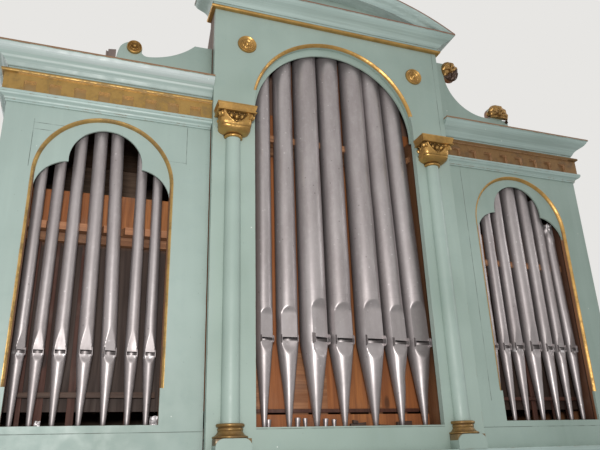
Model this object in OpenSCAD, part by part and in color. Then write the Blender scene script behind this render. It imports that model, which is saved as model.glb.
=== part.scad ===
// Pipe organ: a painted three-bay case with a taller centre tower and seven display pipes to each bay.
// X runs across the front, Y from front to back and Z up. The origin is on the floor under the case's middle.

/* [Case] */
// Width across the outer edges of the side bays
case_w = 2740; // [2680:10:3200]
// Depth from the side bays' front to the back wall
case_d = 1000; // [800:10:1400]
// Height of the tower's sill above the floor
sill_h = 1710; // [1500:10:2000]
// Thickness of the side walls and the back wall
wall_t = 24; // [18:1:40]
// Thickness of the roof boards
roof_t = 18; // [12:1:30]
// Height of the plinth
plinth_h = 120; // [80:5:200]
// How far the plinth stands out from the case
plinth_out = 24; // [10:1:60]

/* [Lower case] */
// Thickness of the stiles and rails of the lower case
frame_t = 30; // [20:1:45]
// Width of the stiles and rails
frame_w = 110; // [80:5:140]
// Thickness of the raised panels
raised_t = 14; // [10:1:20]
// Height of the impost moulding
impost_h = 76; // [50:2:110]
// How far the impost moulding stands out
impost_out = 56; // [30:2:90]
// Drop from the tower's sill to the impost moulding's top
impost_drop = 94; // [80:2:160]

/* [Facade] */
// Width of the tower
tower_w = 1150; // [1110:10:1180]
// How far the tower stands in front of the side bays
tower_out = 50; // [36:1:60]
// Thickness of the tower's front board
tower_t = 28; // [24:1:34]
// Thickness of the side bays' front boards
bay_t = 26; // [18:1:30]
// Width of the tower's opening
tower_open_w = 784; // [740:2:790]
// Height of the tower arch's centre above its sill
tower_spring = 1337; // [1250:1:1360]
// Width of a side opening
bay_open_w = 505; // [470:1:510]
// How far a side opening's centre stands outwards from the middle of its bay
bay_shift = 12.5; // [0:0.5:16]
// Height of a side sill above the tower's sill
bay_sill = 15; // [0:1:40]
// Height of a side arch's centre above the tower's sill
bay_spring = 930; // [900:1:940]

/* [Gilded mouldings] */
// Width of the gilded moulding let into the edge round an arch
arch_gold_w = 13; // [9:1:18]
// Depth of that moulding behind the board's face
arch_gold_d = 12; // [8:1:16]
// Height above the tower's sill where the side mouldings stop
bay_gold_z = 140; // [60:2:300]
// Height above the tower arch's centre where its moulding's ends stop
tower_gold_rise = 80; // [40:2:120]

/* [Pipe shades] */
// Thickness of a pipe shade
shade_t = 8; // [6:1:10]
// Radius of the shade's middle lobe
shade_mid_r = 139; // [130:1:150]
// Radius of the shade's side lobes
shade_side_r = 130; // [120:1:134]
// Height of the middle lobe's centre above the arch's centre
shade_mid_z = 77; // [66:1:84]
// Drop of the side lobes' centres below the arch's centre
shade_side_drop = 66; // [56:1:74]
// Radius of the tower shade's edge
tower_shade_r = 386; // [376:1:390]
// Drop of that edge's centre below the tower arch's centre
tower_shade_drop = 30; // [20:1:40]

/* [Entablatures] */
// Height of the architrave's foot above the tower's sill
architrave_z = 1211; // [1205:1:1230]
// Height of the architrave
architrave_h = 40; // [30:1:50]
// Height of the gilded band with its bead
band_h = 97; // [80:1:110]
// Thickness of the gilded band
band_t = 20; // [18:1:26]
// Height of the gilded bead along the band's top
band_bead_h = 18; // [12:1:24]
// Number of notches that part the dentils of a side bay
notch_n = 8; // [5:1:8]
// Width of a notch
notch_w = 45; // [36:1:56]
// Distance from one notch to the next
notch_pitch = 92.5; // [84:0.5:94]
// Distance from the case's end to the first notch
notch_end = 54; // [46:1:62]
// Height of a notch
notch_h = 52; // [40:1:60]
// Depth of a notch
notch_d = 14; // [8:1:16]
// Height of the side cornices
cornice_h = 92; // [70:1:110]
// How far the cornices stand out
cornice_out = 80; // [60:1:95]

/* [Tower head] */
// Height of the tower's gilded bead above its sill
tower_bead_z = 1815; // [1790:5:1850]
// Height of that bead
tower_bead_h = 18; // [12:1:24]
// Height of the tower's cornice
tower_cornice_h = 72; // [60:1:90]
// Outer radius of the curved pediment
pediment_r = 1280; // [1150:10:1500]
// Height of the curved cornice's moulding, along the radius
pediment_h = 66; // [50:1:80]
// Depth of the tower's cheeks at their foot
cheek_foot_d = 440; // [380:5:520]
// Height above the tower's sill where the cheeks' rear edges turn upright
cheek_knee_z = 1785; // [1720:5:1830]
// Depth of the tower's cornice, bead and cheeks at their head
tower_head_d = 105; // [90:5:140]

/* [Columns] */
// Distance from the tower's side to a column's axis
column_inset = 95; // [88:1:104]
// How far both columns stand to the left of their even places
column_shift = 8; // [0:1:10]
// Diameter of a shaft at its foot
shaft_foot_d = 70; // [60:1:80]
// Diameter of a shaft at its neck
shaft_neck_d = 62; // [50:1:68]
// Height of a capital
capital_h = 155; // [130:1:180]
// Height of a capital's top above the tower's sill
capital_top = 1295; // [1260:1:1310]
// Width of a capital's abacus
abacus_w = 170; // [140:1:172]
// Thickness of a capital's abacus
abacus_h = 28; // [18:1:34]
// Radius of the rolls at a capital's corners
volute_r = 22; // [16:1:28]
// Height of a column's gilded base
base_h = 51; // [40:1:60]
// Height of that base's top above the tower's sill
base_top = 13; // [0:1:20]
// Width of a pedestal
pedestal_w = 130; // [124:1:150]
// How far a pedestal stands out of the tower
pedestal_out = 64; // [62:1:80]

/* [Scrolls] */
// Thickness of the scroll boards
scroll_t = 30; // [20:1:40]
// Distance from the side bays' front plane back to the scroll boards
scroll_back = 6; // [0:1:30]
// Distance from the tower's side to a scroll's lower eye
scroll_run = 365; // [330:1:400]
// Height of a scroll's lower eye above the side cornice
scroll_rise = 116; // [100:1:130]
// Distance from the tower's side to a scroll's upper eye
scroll_top_run = 113; // [100:1:130]
// Height of a scroll's upper eye above the side cornice
scroll_top_rise = 328; // [300:1:345]
// Height above the side cornice where the left scroll's upper part is lost
scroll_left_h = 184; // [170:1:200]

/* [Front pipes] */
// Diameters of the tower's pipes, from left to right
tower_pipe_d = [73, 89, 115, 106, 117, 98, 104]; // [60:1:130]
// Gaps between the tower's pipes, from left to right
tower_pipe_gap = [19, 12, 9, 24, 12, 12]; // [4:1:30]
// Distance from the tower's centre to the left edge of its pipes
tower_pipe_left = 366; // [350:1:380]
// Heights of the tower's pipe tops above the toe board
tower_pipe_top = [1800, 1810, 1830, 1840, 1830, 1810, 1800]; // [1760:5:1860]
// Height of the tower's pipe mouths above the toe board
tower_mouth = 330; // [280:5:400]
// Diameters of the left bay's pipes, from the case's end to the tower
left_pipe_d = [42, 44, 48, 54, 52, 44, 42]; // [30:1:80]
// Gaps between the left bay's pipes, from the case's end to the tower
left_pipe_gap = [18, 26, 35, 28, 32, 22]; // [10:1:50]
// Diameters of the right bay's pipes, from the case's end to the tower
right_pipe_d = [50, 50, 57, 72, 57, 50, 48]; // [30:1:80]
// Gaps between the right bay's pipes, from the case's end to the tower
right_pipe_gap = [19, 19, 22, 20, 17, 21]; // [10:1:50]
// Distance from a side opening's centre to the outer edge of its pipes
bay_pipe_left = 252; // [240:1:258]
// Heights of a side bay's pipe tops above the toe board
bay_pipe_top = [1060, 1090, 1190, 1215, 1190, 1090, 1060]; // [1040:5:1300]
// Height of the left bay's pipe mouths above the toe board
left_mouth = 246; // [220:2:300]
// Height of the right bay's pipe mouths above the toe board
right_mouth = 318; // [260:2:350]
// Wall of the pipe metal
pipe_t = 1.6; // [1:0.1:2.5]
// Radius of a pipe foot's tip
toe_r = 8; // [6:1:12]
// Distance from a pipe's axis to its flattened mouth, as a share of its radius
pipe_flat = 0.64; // [0.55:0.01:0.75]
// Distance from the side bays' front plane to the tower's pipe axes
tower_pipe_y = 56; // [52:1:64]
// Distance from the side bays' front plane to the side bays' pipe axes
bay_pipe_y = 68; // [64:1:76]

/* [Inside] */
// Thickness of the rack boards
rack_t = 24; // [18:1:32]
// Height of the rack boards
rack_h = 64; // [50:2:90]
// Height of the side racks' top above the tower's sill
bay_rack_z = 762; // [700:2:800]
// Height of the tower rack's top above its sill
tower_rack_z = 1262; // [1150:2:1280]
// Length of the blocks between the tower's pipes, from the rack board to the pipe axes
tower_block = 62; // [60:1:70]
// Length of the blocks between a side bay's pipes, from the rack board to the pipe axes
bay_block = 40; // [36:1:46]
// Height of those blocks
rack_block_h = 30; // [20:1:40]
// Thickness of the toe boards
toe_board_t = 36; // [26:1:50]
// Depth of the toe boards
toe_board_d = 260; // [220:5:400]
// Thickness of the backing boards
backing_t = 18; // [12:1:24]
// Height of the backing boards' foot above the tower's sill
backing_z = 70; // [60:1:120]
// Height of the side backing boards' top above the tower's sill
bay_backing_top = 922; // [860:2:1000]
// Height of the low board at the feet of the tower's pipes
foot_board_h = 54; // [40:1:58]
// Distance from the tower's centre to the boards beside its pipes
inner_cheek_x = 432; // [424:1:444]
// Height of those boards
inner_cheek_h = 1290; // [1282:1:1330]

/* [Hidden] */
$fn = 48;

paint = [0.60, 0.67, 0.64];
gilt = [0.76, 0.58, 0.30];
bare_wood = [0.55, 0.35, 0.20];
dark_wood = [0.36, 0.24, 0.17];
pipe_metal = [0.62, 0.60, 0.60];

half_w = case_w / 2;
tower_half = tower_w / 2;
tower_face = -tower_out;
tower_open_r = tower_open_w / 2;
bay_open_r = bay_open_w / 2;
band_z = architrave_z + architrave_h;
cornice_z = band_z + band_h;
cornice_top = cornice_z + cornice_h;
bay_top = cornice_top - roof_t;
bay_x = (half_w + tower_half) / 2 + bay_shift;
column_x = tower_half - column_inset;
left_column_x = -column_x - column_shift;
right_column_x = column_x - column_shift;
impost_top = -impost_drop;
tower_cornice_z = tower_bead_z + tower_bead_h;
tower_cornice_top = tower_cornice_z + tower_cornice_h;
pediment_half = tower_half + cornice_out;
pediment_z = tower_cornice_top - sqrt(pow(pediment_r, 2) - pow(pediment_half, 2));
facade_h = tower_cornice_top + impost_drop;
back_y = tower_pipe_y + tower_block + rack_t;
shaft_top = capital_top - capital_h;

// Moves children from the facade's frame, whose origin is the middle of the tower's sill
module on_facade() {
    translate([0, -case_d / 2, sill_h]) children();
}

// Unit normal on the outer side of a run from p to q
function run_normal(p, q) = [q[1] - p[1], p[0] - q[0]] / norm(q - p);

// Mitre direction at point i of a path
function mitre(path, i) =
    let (before = run_normal(path[max(i, 1) - 1], path[max(i, 1)]),
         after = run_normal(path[min(i, len(path) - 2)], path[min(i, len(path) - 2) + 1]))
    (before + after) / (1 + before * after);

// A moulding along a path seen from above, with profile points [distance out, height] and mitred corners
module moulding(path, profile, reach) {
    low = min([for (point = profile) point[1]]);
    high = max([for (point = profile) point[1]]);
    for (i = [0 : len(path) - 2]) {
        from = path[i];
        to = path[i + 1];
        out = run_normal(from, to);
        along = (to - from) / norm(to - from);
        start = to + along * reach;
        intersection() {
            translate([start[0], start[1], 0])
                rotate([0, 0, atan2(out[1], out[0])])
                    rotate([90, 0, 0])
                        linear_extrude(norm(to - from) + 2 * reach) polygon(profile);
            translate([0, 0, low])
                linear_extrude(high - low)
                    polygon([from, to, to + mitre(path, i + 1) * reach, from + mitre(path, i) * reach]);
        }
    }
}

// Points of an S-curve from [out, height] a to b, hollow above and round below; swing scales its bend
function cyma(a, b, steps, swing = 1) =
    [for (i = [0 : steps])
        let (t = i / steps, bend = swing * sin(360 * t))
        [a[0] + (b[0] - a[0]) * (t - bend / 8), a[1] + (b[1] - a[1]) * (t + bend / 14)]];

// Points of an arc round a centre
function arc(centre, r, from, to, steps) =
    [for (i = [0 : steps])
        let (a = from + (to - from) * i / steps)
        centre + r * [cos(a), sin(a)]];

// Running totals of a list, starting at first
function running(list, first, i = 0) =
    i == len(list) ? [first] : concat([first], running(list, first + list[i], i + 1));

// Centres of a row of pipes from its left edge, its diameters and its gaps
function row_centres(left, diameters, gaps) =
    let (starts = running([for (i = [0 : len(gaps) - 1]) diameters[i] + gaps[i]], left))
    [for (i = [0 : len(diameters) - 1]) starts[i] + diameters[i] / 2];

tower_pipe_x = row_centres(-tower_pipe_left, tower_pipe_d, tower_pipe_gap);
left_pipe_x = row_centres(-bay_pipe_left, left_pipe_d, left_pipe_gap);
right_pipe_x = row_centres(-bay_pipe_left, right_pipe_d, right_pipe_gap);

// Plan outline of the case, grown outwards by a distance
function case_plan(out, front = 0) =
    [[-half_w - out, case_d], [-half_w - out, -out], [-tower_half - out, -out],
     [-tower_half - out, tower_face - out], [tower_half + out, tower_face - out],
     [tower_half + out, -out], [half_w + out, -out], [half_w + out, case_d]];

// A round-headed opening's outline: half width, arch centre and foot
module arch_outline(r, spring, foot) {
    translate([0, spring]) circle(r, $fn = 96);
    translate([-r, foot]) square([2 * r, spring - foot]);
}

// The part of a round-headed outline above a height
module arch_above(r, spring, low) {
    intersection() {
        arch_outline(r, spring, 0);
        translate([-r, low]) square([2 * r, spring + r - low]);
    }
}

// Stands a drawing in X and Z upright, its thickness running back from y
module upright(y, thickness) {
    translate([0, y + thickness, 0]) rotate([90, 0, 0]) linear_extrude(thickness) children();
}

module base_plinth() {
    top_fillet = 18;
    color(paint) translate([0, -case_d / 2, 0]) {
        linear_extrude(plinth_h - top_fillet) polygon(case_plan(plinth_out));
        translate([0, 0, plinth_h - top_fillet])
            linear_extrude(top_fillet) polygon(case_plan(plinth_out / 2));
    }
}

// A framed front with raised fields, its face on y and its middle on x = 0
module framed_front(w, h, fields) {
    field_w = (w - frame_w * (fields + 1)) / fields;
    bevel = 34;
    difference() {
        translate([-w / 2, 0, 0]) cube([w, frame_t, h]);
        for (i = [0 : fields - 1])
            translate([-w / 2 + frame_w + i * (field_w + frame_w), 0, frame_w])
                translate([0, -1, 0]) cube([field_w, frame_t - raised_t + 1, h - 2 * frame_w]);
    }
    for (i = [0 : fields - 1])
        translate([-w / 2 + frame_w + i * (field_w + frame_w) + bevel, raised_t / 2, frame_w + bevel])
            cube([field_w - 2 * bevel, frame_t - raised_t, h - 2 * frame_w - 2 * bevel]);
}

lower_h = sill_h - impost_drop - plinth_h;

module lower_front(x, y, w, fields) {
    translate([x, -case_d / 2 + y, plinth_h]) framed_front(w, lower_h, fields);
}

module lower_panel_left() {
    w = half_w - tower_half;
    color(paint) lower_front(-half_w + w / 2, 0, w, 2);
}

module lower_panel_centre() {
    color(paint) lower_front(0, tower_face, tower_w, 3);
}

module lower_panel_right() {
    w = half_w - tower_half;
    color(paint) lower_front(half_w - w / 2, 0, w, 2);
}

module impost_moulding() {
    foot = impost_top - impost_h;
    fillet = 12;
    neck = 10;
    profile = concat([[0, foot], [neck, foot], [neck, foot + fillet]],
                     cyma([neck + 6, foot + fillet], [impost_out - 4, impost_top - 2 * fillet], 10),
                     [[impost_out, impost_top - 2 * fillet], [impost_out, impost_top], [0, impost_top]]);
    color(paint) on_facade() moulding(case_plan(0), profile, impost_out + 10);
}

// A drawing made a board with an arched opening, whose front edge is rebated for the gilding above stop
module arched_board(y, thickness, r, spring, foot, stop) {
    difference() {
        upright(y, thickness)
            difference() {
                children();
                arch_outline(r, spring, foot);
            }
        upright(y - 1, arch_gold_d + 1) arch_above(r + arch_gold_w, spring, stop);
    }
}

module bay_front() {
    translate([-bay_x, 0, 0])
        arched_board(0, bay_t, bay_open_r, bay_spring, bay_sill, bay_gold_z)
            translate([bay_x - half_w, impost_top]) square([half_w - tower_half, bay_top - impost_top]);
}

module facade_left() {
    color(paint) on_facade() bay_front();
}

module facade_right() {
    color(paint) on_facade() mirror([1, 0, 0]) bay_front();
}

// The tower's front board, with a thin shade behind its arch
module facade_centre() {
    lap = 24;
    shade_foot = tower_spring - 52;
    color(paint) on_facade() {
        arched_board(tower_face, tower_t, tower_open_r, tower_spring, 0, tower_spring + tower_gold_rise)
            translate([-tower_half, impost_top]) square([tower_w, facade_h]);
        upright(tower_face + tower_t, shade_t)
            difference() {
                arch_above(tower_open_r + lap, tower_spring, shade_foot);
                translate([0, tower_spring - tower_shade_drop]) circle(tower_shade_r, $fn = 96);
            }
    }
}

// A gilded moulding let into an arch's edge above stop: a thin fillet, then a shallow round that slopes inwards
module arch_moulding(r, spring, stop) {
    fillet = 2.5;
    proud = 1;
    swell = 1.2;
    steps = 8;
    slope = [arch_gold_w - fillet, arch_gold_d];
    side = [-slope[1], slope[0]] / norm(slope);
    profile = concat([[r, -arch_gold_d]],
                     [for (i = [0 : steps])
                         [r, proud - arch_gold_d] + slope * i / steps + side * swell * sin(180 * i / steps)],
                     [[r + arch_gold_w, proud], [r + arch_gold_w, -arch_gold_d]]);
    difference() {
        union() {
            translate([0, 0, spring]) rotate([90, 0, 0]) rotate_extrude(angle = 180, $fn = 96) polygon(profile);
            for (mark = [0, 1])
                mirror([mark, 0, 0]) linear_extrude(spring) mirror([0, 1]) polygon(profile);
        }
        translate([-2 * r, -arch_gold_w, -1]) cube([4 * r, 4 * arch_gold_w, stop + 1]);
    }
}

module arch_moulding_left() {
    color(gilt) on_facade() translate([-bay_x, 0, 0]) arch_moulding(bay_open_r, bay_spring, bay_gold_z);
}

module arch_moulding_right() {
    color(gilt) on_facade() translate([bay_x, 0, 0]) arch_moulding(bay_open_r, bay_spring, bay_gold_z);
}

module arch_moulding_centre() {
    color(gilt) on_facade() translate([0, tower_face, 0])
        arch_moulding(tower_open_r, tower_spring, tower_spring + tower_gold_rise);
}

// A pipe shade's outline: the head of the side opening, cut by three lobes
module shade_outline() {
    past = 1.5;
    lobe_x = bay_open_r + past - shade_side_r;
    foot = bay_spring - shade_side_drop;
    difference() {
        arch_above(bay_open_r, bay_spring, foot);
        translate([0, bay_spring + shade_mid_z]) circle(shade_mid_r, $fn = 96);
        for (side = [-1, 1]) translate([side * lobe_x, foot]) circle(shade_side_r, $fn = 96);
        translate([-lobe_x, foot - 1]) square([2 * lobe_x, shade_side_r * 0.9]);
    }
}

module pipe_shade_left() {
    color(paint) on_facade() translate([-bay_x, 0, 0]) upright(arch_gold_d, shade_t) shade_outline();
}

module pipe_shade_right() {
    color(paint) on_facade() translate([bay_x, 0, 0]) upright(arch_gold_d, shade_t) shade_outline();
}

// Keeps what stands in front of the tower's face
module engaged(x, low, high, w) {
    intersection() {
        translate([x, tower_face, 0]) children();
        translate([x - w, tower_face - w, low]) cube([2 * w, w, high - low]);
    }
}

// A shaft whose edge swells slightly between foot and neck
module shaft() {
    length = shaft_top - base_top;
    swell = 1.2;
    steps = 10;
    side = [for (i = [0 : steps])
        let (t = i / steps)
        [(shaft_foot_d + (shaft_neck_d - shaft_foot_d) * t) / 2 + swell * sin(180 * t), t * length]];
    translate([0, 0, base_top]) rotate_extrude() polygon(concat([[0, 0]], side, [[0, length]]));
}

module column_shaft_left() {
    color(paint) on_facade() engaged(left_column_x, base_top, shaft_top, shaft_foot_d) shaft();
}

module column_shaft_right() {
    color(paint) on_facade() engaged(right_column_x, base_top, shaft_top, shaft_foot_d) shaft();
}

// A drum on a flaring round, between a necking ring and a stepped abacus with rolls under its corners
module capital() {
    neck_r = shaft_neck_d / 2;
    ring_h = 14;
    drum_z = capital_h - abacus_h;
    drum_r = abacus_w * 0.35;
    round_h = 40;
    round_r = abacus_w * 0.40;
    roll_x = abacus_w * 0.44;
    fillet_h = 5;
    step = 7;
    roll_l = 30;
    flare = round_r - neck_r - 1;
    drum = concat([[0, 0]],
                  arc([neck_r + 2, ring_h / 2], ring_h / 2, -90, 90, 8),
                  [for (a = [0 : 9 : 90])
                      [neck_r + 1 + flare * sin(a), ring_h + round_h * (1 - cos(a))]],
                  [[round_r, ring_h + round_h + fillet_h], [drum_r, ring_h + round_h + fillet_h],
                   [drum_r + 4, drum_z], [0, drum_z]]);
    translate([0, 0, shaft_top]) {
        rotate_extrude() polygon(drum);
        translate([0, 0, drum_z])
            linear_extrude(abacus_h) square(abacus_w - 2 * step, center = true);
        translate([0, 0, drum_z + abacus_h * 0.4])
            linear_extrude(abacus_h * 0.6) square(abacus_w, center = true);
        for (a = [-135, -45])
            rotate([0, 0, a])
                translate([roll_x, 0, drum_z - volute_r])
                    rotate([90, 0, 0]) cylinder(r = volute_r, h = roll_l, center = true);
    }
}

module capital_left() {
    color(gilt) on_facade() engaged(left_column_x, shaft_top, capital_top, abacus_w) capital();
}

module capital_right() {
    color(gilt) on_facade() engaged(right_column_x, shaft_top, capital_top, abacus_w) capital();
}

// A base of two rounds with a hollow between them, on a round plinth
module column_base() {
    foot_r = shaft_foot_d / 2;
    plinth_part = base_h * 0.24;
    low_r = base_h * 0.16;
    top_r = base_h * 0.11;
    hollow = base_h * 0.20;
    plinth_r = foot_r + 26;
    low_z = plinth_part + low_r;
    hollow_z = plinth_part + 2 * low_r;
    top_z = base_h - top_r - 2;
    profile = concat([[0, 0], [plinth_r, 0], [plinth_r, plinth_part]],
                     arc([plinth_r - low_r, low_z], low_r, -90, 90, 8),
                     arc([foot_r + 13, hollow_z + hollow / 2], hollow / 2, -90, -270, 6),
                     arc([foot_r + 12, top_z], top_r, -80, 90, 8),
                     [[foot_r + 2, base_h], [0, base_h]]);
    translate([0, 0, base_top - base_h]) rotate_extrude() polygon(profile);
}

module column_bases() {
    color(gilt) on_facade()
        for (x = [left_column_x, right_column_x])
            engaged(x, base_top - base_h, base_top, pedestal_w) column_base();
}

module pedestals() {
    low = impost_top;
    high = base_top - base_h;
    round_r = 30;
    color(paint) on_facade()
        for (x = [left_column_x, right_column_x])
            translate([x, tower_face, low])
                intersection() {
                    translate([-pedestal_w / 2, -pedestal_out, 0]) cube([pedestal_w, pedestal_out, high - low]);
                    upright(-pedestal_out, pedestal_out)
                        union() {
                            translate([-pedestal_w / 2, 0]) square([pedestal_w, high - low - round_r]);
                            translate([-pedestal_w / 2 + round_r, 0])
                                square([pedestal_w - 2 * round_r, high - low]);
                            for (side = [-1, 1])
                                translate([side * (pedestal_w / 2 - round_r), high - low - round_r])
                                    circle(round_r);
                        }
                }
}

// Height of a rosette at a share t of its radius: boss, hollow and rim
function rosette_rise(t) =
    t < 0.3 ? 0.5 + 0.5 * sqrt(1 - pow(t / 0.3, 2))
    : t < 0.76 ? 0.5 - 0.26 * sin(180 * (t - 0.3) / 0.46)
    : 0.5 + 0.14 * sin(180 * (t - 0.76) / 0.24);

// A turned rosette facing the viewer, its back on y = 0
module rosette(r, thick) {
    steps = 20;
    profile = [for (i = [0 : steps]) [r * (1 - i / steps), thick * rosette_rise(1 - i / steps)]];
    rotate([90, 0, 0]) rotate_extrude() polygon(concat([[0, 0], [r, 0]], profile));
}

spandrel_in = 148;
spandrel_rise = 313;
spandrel_x = tower_half - spandrel_in;
spandrel_z = tower_spring + spandrel_rise;
spandrel_r = 44;
scroll_low = [tower_half + scroll_run, cornice_top + scroll_rise];
scroll_high = [tower_half + scroll_top_run, cornice_top + scroll_top_rise];
scroll_rosette_r = 50;
scroll_left_rosette_r = 28;

module rosettes() {
    color(gilt) on_facade() {
        for (x = [-spandrel_x, spandrel_x])
            translate([x, tower_face, spandrel_z]) rosette(spandrel_r, 14);
        translate([-scroll_low[0], scroll_back, scroll_low[1]]) rosette(scroll_left_rosette_r, 14);
        for (eye = [scroll_low, scroll_high])
            translate([eye[0], scroll_back, eye[1]]) rosette(scroll_rosette_r, 22);
    }
}

// Profile of a cornice: fascia, step, shallow S-curve and thin lip
function cornice_profile(foot, high, out) =
    let (fascia = high * 0.18, step = 3, lip = 8, first = out * 0.12)
    concat([[0, foot], [first, foot], [first, foot + fascia], [first + step, foot + fascia]],
           cyma([first + 2 * step, foot + fascia + step], [out - step, foot + high - lip], 12, 0.5),
           [[out, foot + high - lip], [out, foot + high], [0, foot + high]]);

module tower_cornice() {
    path = [[-tower_half, tower_face + tower_head_d], [-tower_half, tower_face],
            [tower_half, tower_face], [tower_half, tower_face + tower_head_d]];
    color(paint) on_facade()
        moulding(path, cornice_profile(tower_cornice_z, tower_cornice_h, cornice_out), cornice_out + 10);
}

// Profile of a round bead with a fillet above it
function bead_profile(foot, high, out) =
    concat([[0, foot]], arc([out - high * 0.45, foot + high * 0.45], high * 0.45, -90, 90, 8),
           [[out * 0.5, foot + high * 0.9], [out * 0.5, foot + high], [0, foot + high]]);

module tower_bead() {
    path = [[-tower_half, tower_face + tower_head_d], [-tower_half, tower_face],
            [tower_half, tower_face], [tower_half, tower_face + tower_head_d]];
    color(gilt) on_facade() moulding(path, bead_profile(tower_bead_z, tower_bead_h, 20), 40);
}

// The curved cornice, with a board that closes the tower's head behind it
module pediment_cornice() {
    front = tower_face - cornice_out;
    back = tower_face + tower_head_d;
    under = pediment_r - pediment_h;
    step = pediment_h * 0.16;
    board_t = 16;
    spare = 50;
    below = 200;
    half_angle = asin(pediment_half / pediment_r);
    profile = concat([[pediment_r, front], [pediment_r, back], [pediment_r - board_t, back],
                      [pediment_r - board_t, tower_face + 30], [under, tower_face + 30],
                      [under, front + 34], [under + step, front + 34]],
                     [for (point = cyma([34, 0], [4, 1], 10))
                         [under + step + (pediment_h - 2.4 * step) * point[1], front + point[0]]],
                     [[pediment_r - step, front]]);
    color(paint) on_facade()
        difference() {
            translate([0, 0, pediment_z])
                rotate([90, 0, 0])
                    mirror([0, 0, 1])
                        rotate([0, 0, 90 - half_angle])
                            rotate_extrude(angle = 2 * half_angle, $fn = 180) polygon(profile);
            translate([-case_w, front - spare, tower_cornice_top - below])
                cube([2 * case_w, back - front + 2 * spare, below]);
        }
}

module tympanum() {
    recess = 12;
    thick = 18;
    color(paint) on_facade()
        upright(tower_face + recess, thick)
            intersection() {
                translate([0, pediment_z]) circle(pediment_r - pediment_h, $fn = 180);
                translate([-tower_half, tower_cornice_top]) square([tower_w, pediment_r]);
            }
}

// Cornice, gilded band and architrave of the left bay run back along the case's end
bay_path = [[-half_w, case_d], [-half_w, 0], [-tower_half, 0]];

module side_cornice() {
    moulding(bay_path, cornice_profile(cornice_z, cornice_h, cornice_out), cornice_out + 10);
}

module side_cornice_left() {
    color(paint) on_facade() side_cornice();
}

module side_cornice_right() {
    color(paint) on_facade() mirror([1, 0, 0]) side_cornice();
}

// A band that notches part into dentils, under a gilded bead
module dentil_band() {
    band_top = cornice_z - band_bead_h;
    difference() {
        moulding(bay_path, [[0, band_z], [band_t, band_z], [band_t, band_top], [0, band_top]], band_t + 10);
        for (i = [0 : notch_n - 1])
            translate([-half_w + notch_end + i * notch_pitch, -band_t - 1, band_z - 1])
                cube([notch_w, notch_d + 1, notch_h + 1]);
    }
    moulding(bay_path, bead_profile(band_top, band_bead_h, band_t + 12), band_t + 30);
}

module dentil_band_left() {
    color(gilt) on_facade() dentil_band();
}

module dentil_band_right() {
    color(gilt) on_facade() mirror([1, 0, 0]) dentil_band();
}

module architrave() {
    out = band_t + 10;
    profile = concat([[0, architrave_z], [6, architrave_z], [6, architrave_z + 8]],
                     cyma([8, architrave_z + 8], [out - 2, band_z - 10], 8),
                     [[out, band_z - 10], [out, band_z], [0, band_z]]);
    moulding(bay_path, profile, out + 10);
}

module architrave_left() {
    color(paint) on_facade() architrave();
}

module architrave_right() {
    color(paint) on_facade() mirror([1, 0, 0]) architrave();
}

scroll_eye_r = 47;

// A scroll bracket's outline beside the tower: a hollow sweep of radius r round a centre, up to a height
module scroll_outline(centre, r, high) {
    tail_w = 72;
    difference() {
        translate([tower_half, cornice_top]) square([scroll_run + tail_w, high]);
        translate(centre) circle(r, $fn = 96);
        translate([centre[0], centre[1] - r]) square([scroll_run, high + r]);
    }
    translate([centre[0], cornice_top])
        square([tower_half + scroll_run + tail_w - centre[0], centre[1] - r - cornice_top]);
    translate(scroll_low) circle(scroll_eye_r);
}

module scroll_right() {
    sweep_in = 64;
    sweep_rise = 314;
    sweep_r = 228;
    sweep = [scroll_low[0] - sweep_in, cornice_top + sweep_rise];
    color(paint) on_facade()
        upright(scroll_back, scroll_t) {
            scroll_outline(sweep, sweep_r, tower_bead_z - cornice_top);
            translate(scroll_high) circle(scroll_eye_r);
        }
}

module scroll_left() {
    sweep_in = 50;
    sweep_rise = 404;
    sweep_r = 324;
    sweep = [scroll_low[0] - sweep_in, cornice_top + sweep_rise];
    board_r = 56;
    color(paint) on_facade()
        mirror([1, 0, 0])
            upright(scroll_back, scroll_t)
                intersection() {
                    union() {
                        scroll_outline(sweep, sweep_r, scroll_left_h);
                        translate(scroll_low) circle(board_r);
                    }
                    translate([tower_half, cornice_top]) square([scroll_run + 2 * board_r, scroll_left_h]);
                }
}

cheek_t = 22;

// Boards that brace the tower's front, with sloping rear edges that turn upright under the cornice's ends
module tower_cheeks() {
    front = tower_face + tower_t;
    foot = tower_face + cheek_foot_d;
    head = tower_face + tower_head_d;
    side = [[front, bay_top], [back_y + backing_t, bay_top], [back_y + backing_t, cornice_top],
            [foot, cornice_top], [head, cheek_knee_z], [head, tower_cornice_top], [front, tower_cornice_top]];
    color(bare_wood) on_facade()
        for (mark = [0, 1])
            mirror([mark, 0, 0])
                translate([tower_half - cheek_t, 0, 0])
                    rotate([90, 0, 90]) linear_extrude(cheek_t) polygon(side);
}

// The board behind the tower's pipes above the roof, and the lid over them
module tower_back() {
    front = tower_face + tower_t;
    under = tower_cornice_top - backing_t;
    color(bare_wood) on_facade()
        translate([-tower_half + cheek_t, 0, 0])
            rotate([90, 0, 90])
                linear_extrude(tower_w - 2 * cheek_t)
                    polygon([[back_y, bay_top], [back_y + backing_t, bay_top],
                             [back_y + backing_t, tower_cornice_top], [front, tower_cornice_top],
                             [front, under], [back_y, under]]);
}

module roof_sides() {
    color(bare_wood) on_facade()
        for (side = [0, 1])
            mirror([side, 0, 0])
                translate([-half_w, 0, bay_top]) cube([half_w - tower_half, case_d, roof_t]);
}

module roof_centre() {
    color(bare_wood) on_facade()
        translate([-tower_half, back_y + backing_t, bay_top])
            cube([tower_w, case_d - back_y - backing_t, roof_t]);
}

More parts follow.
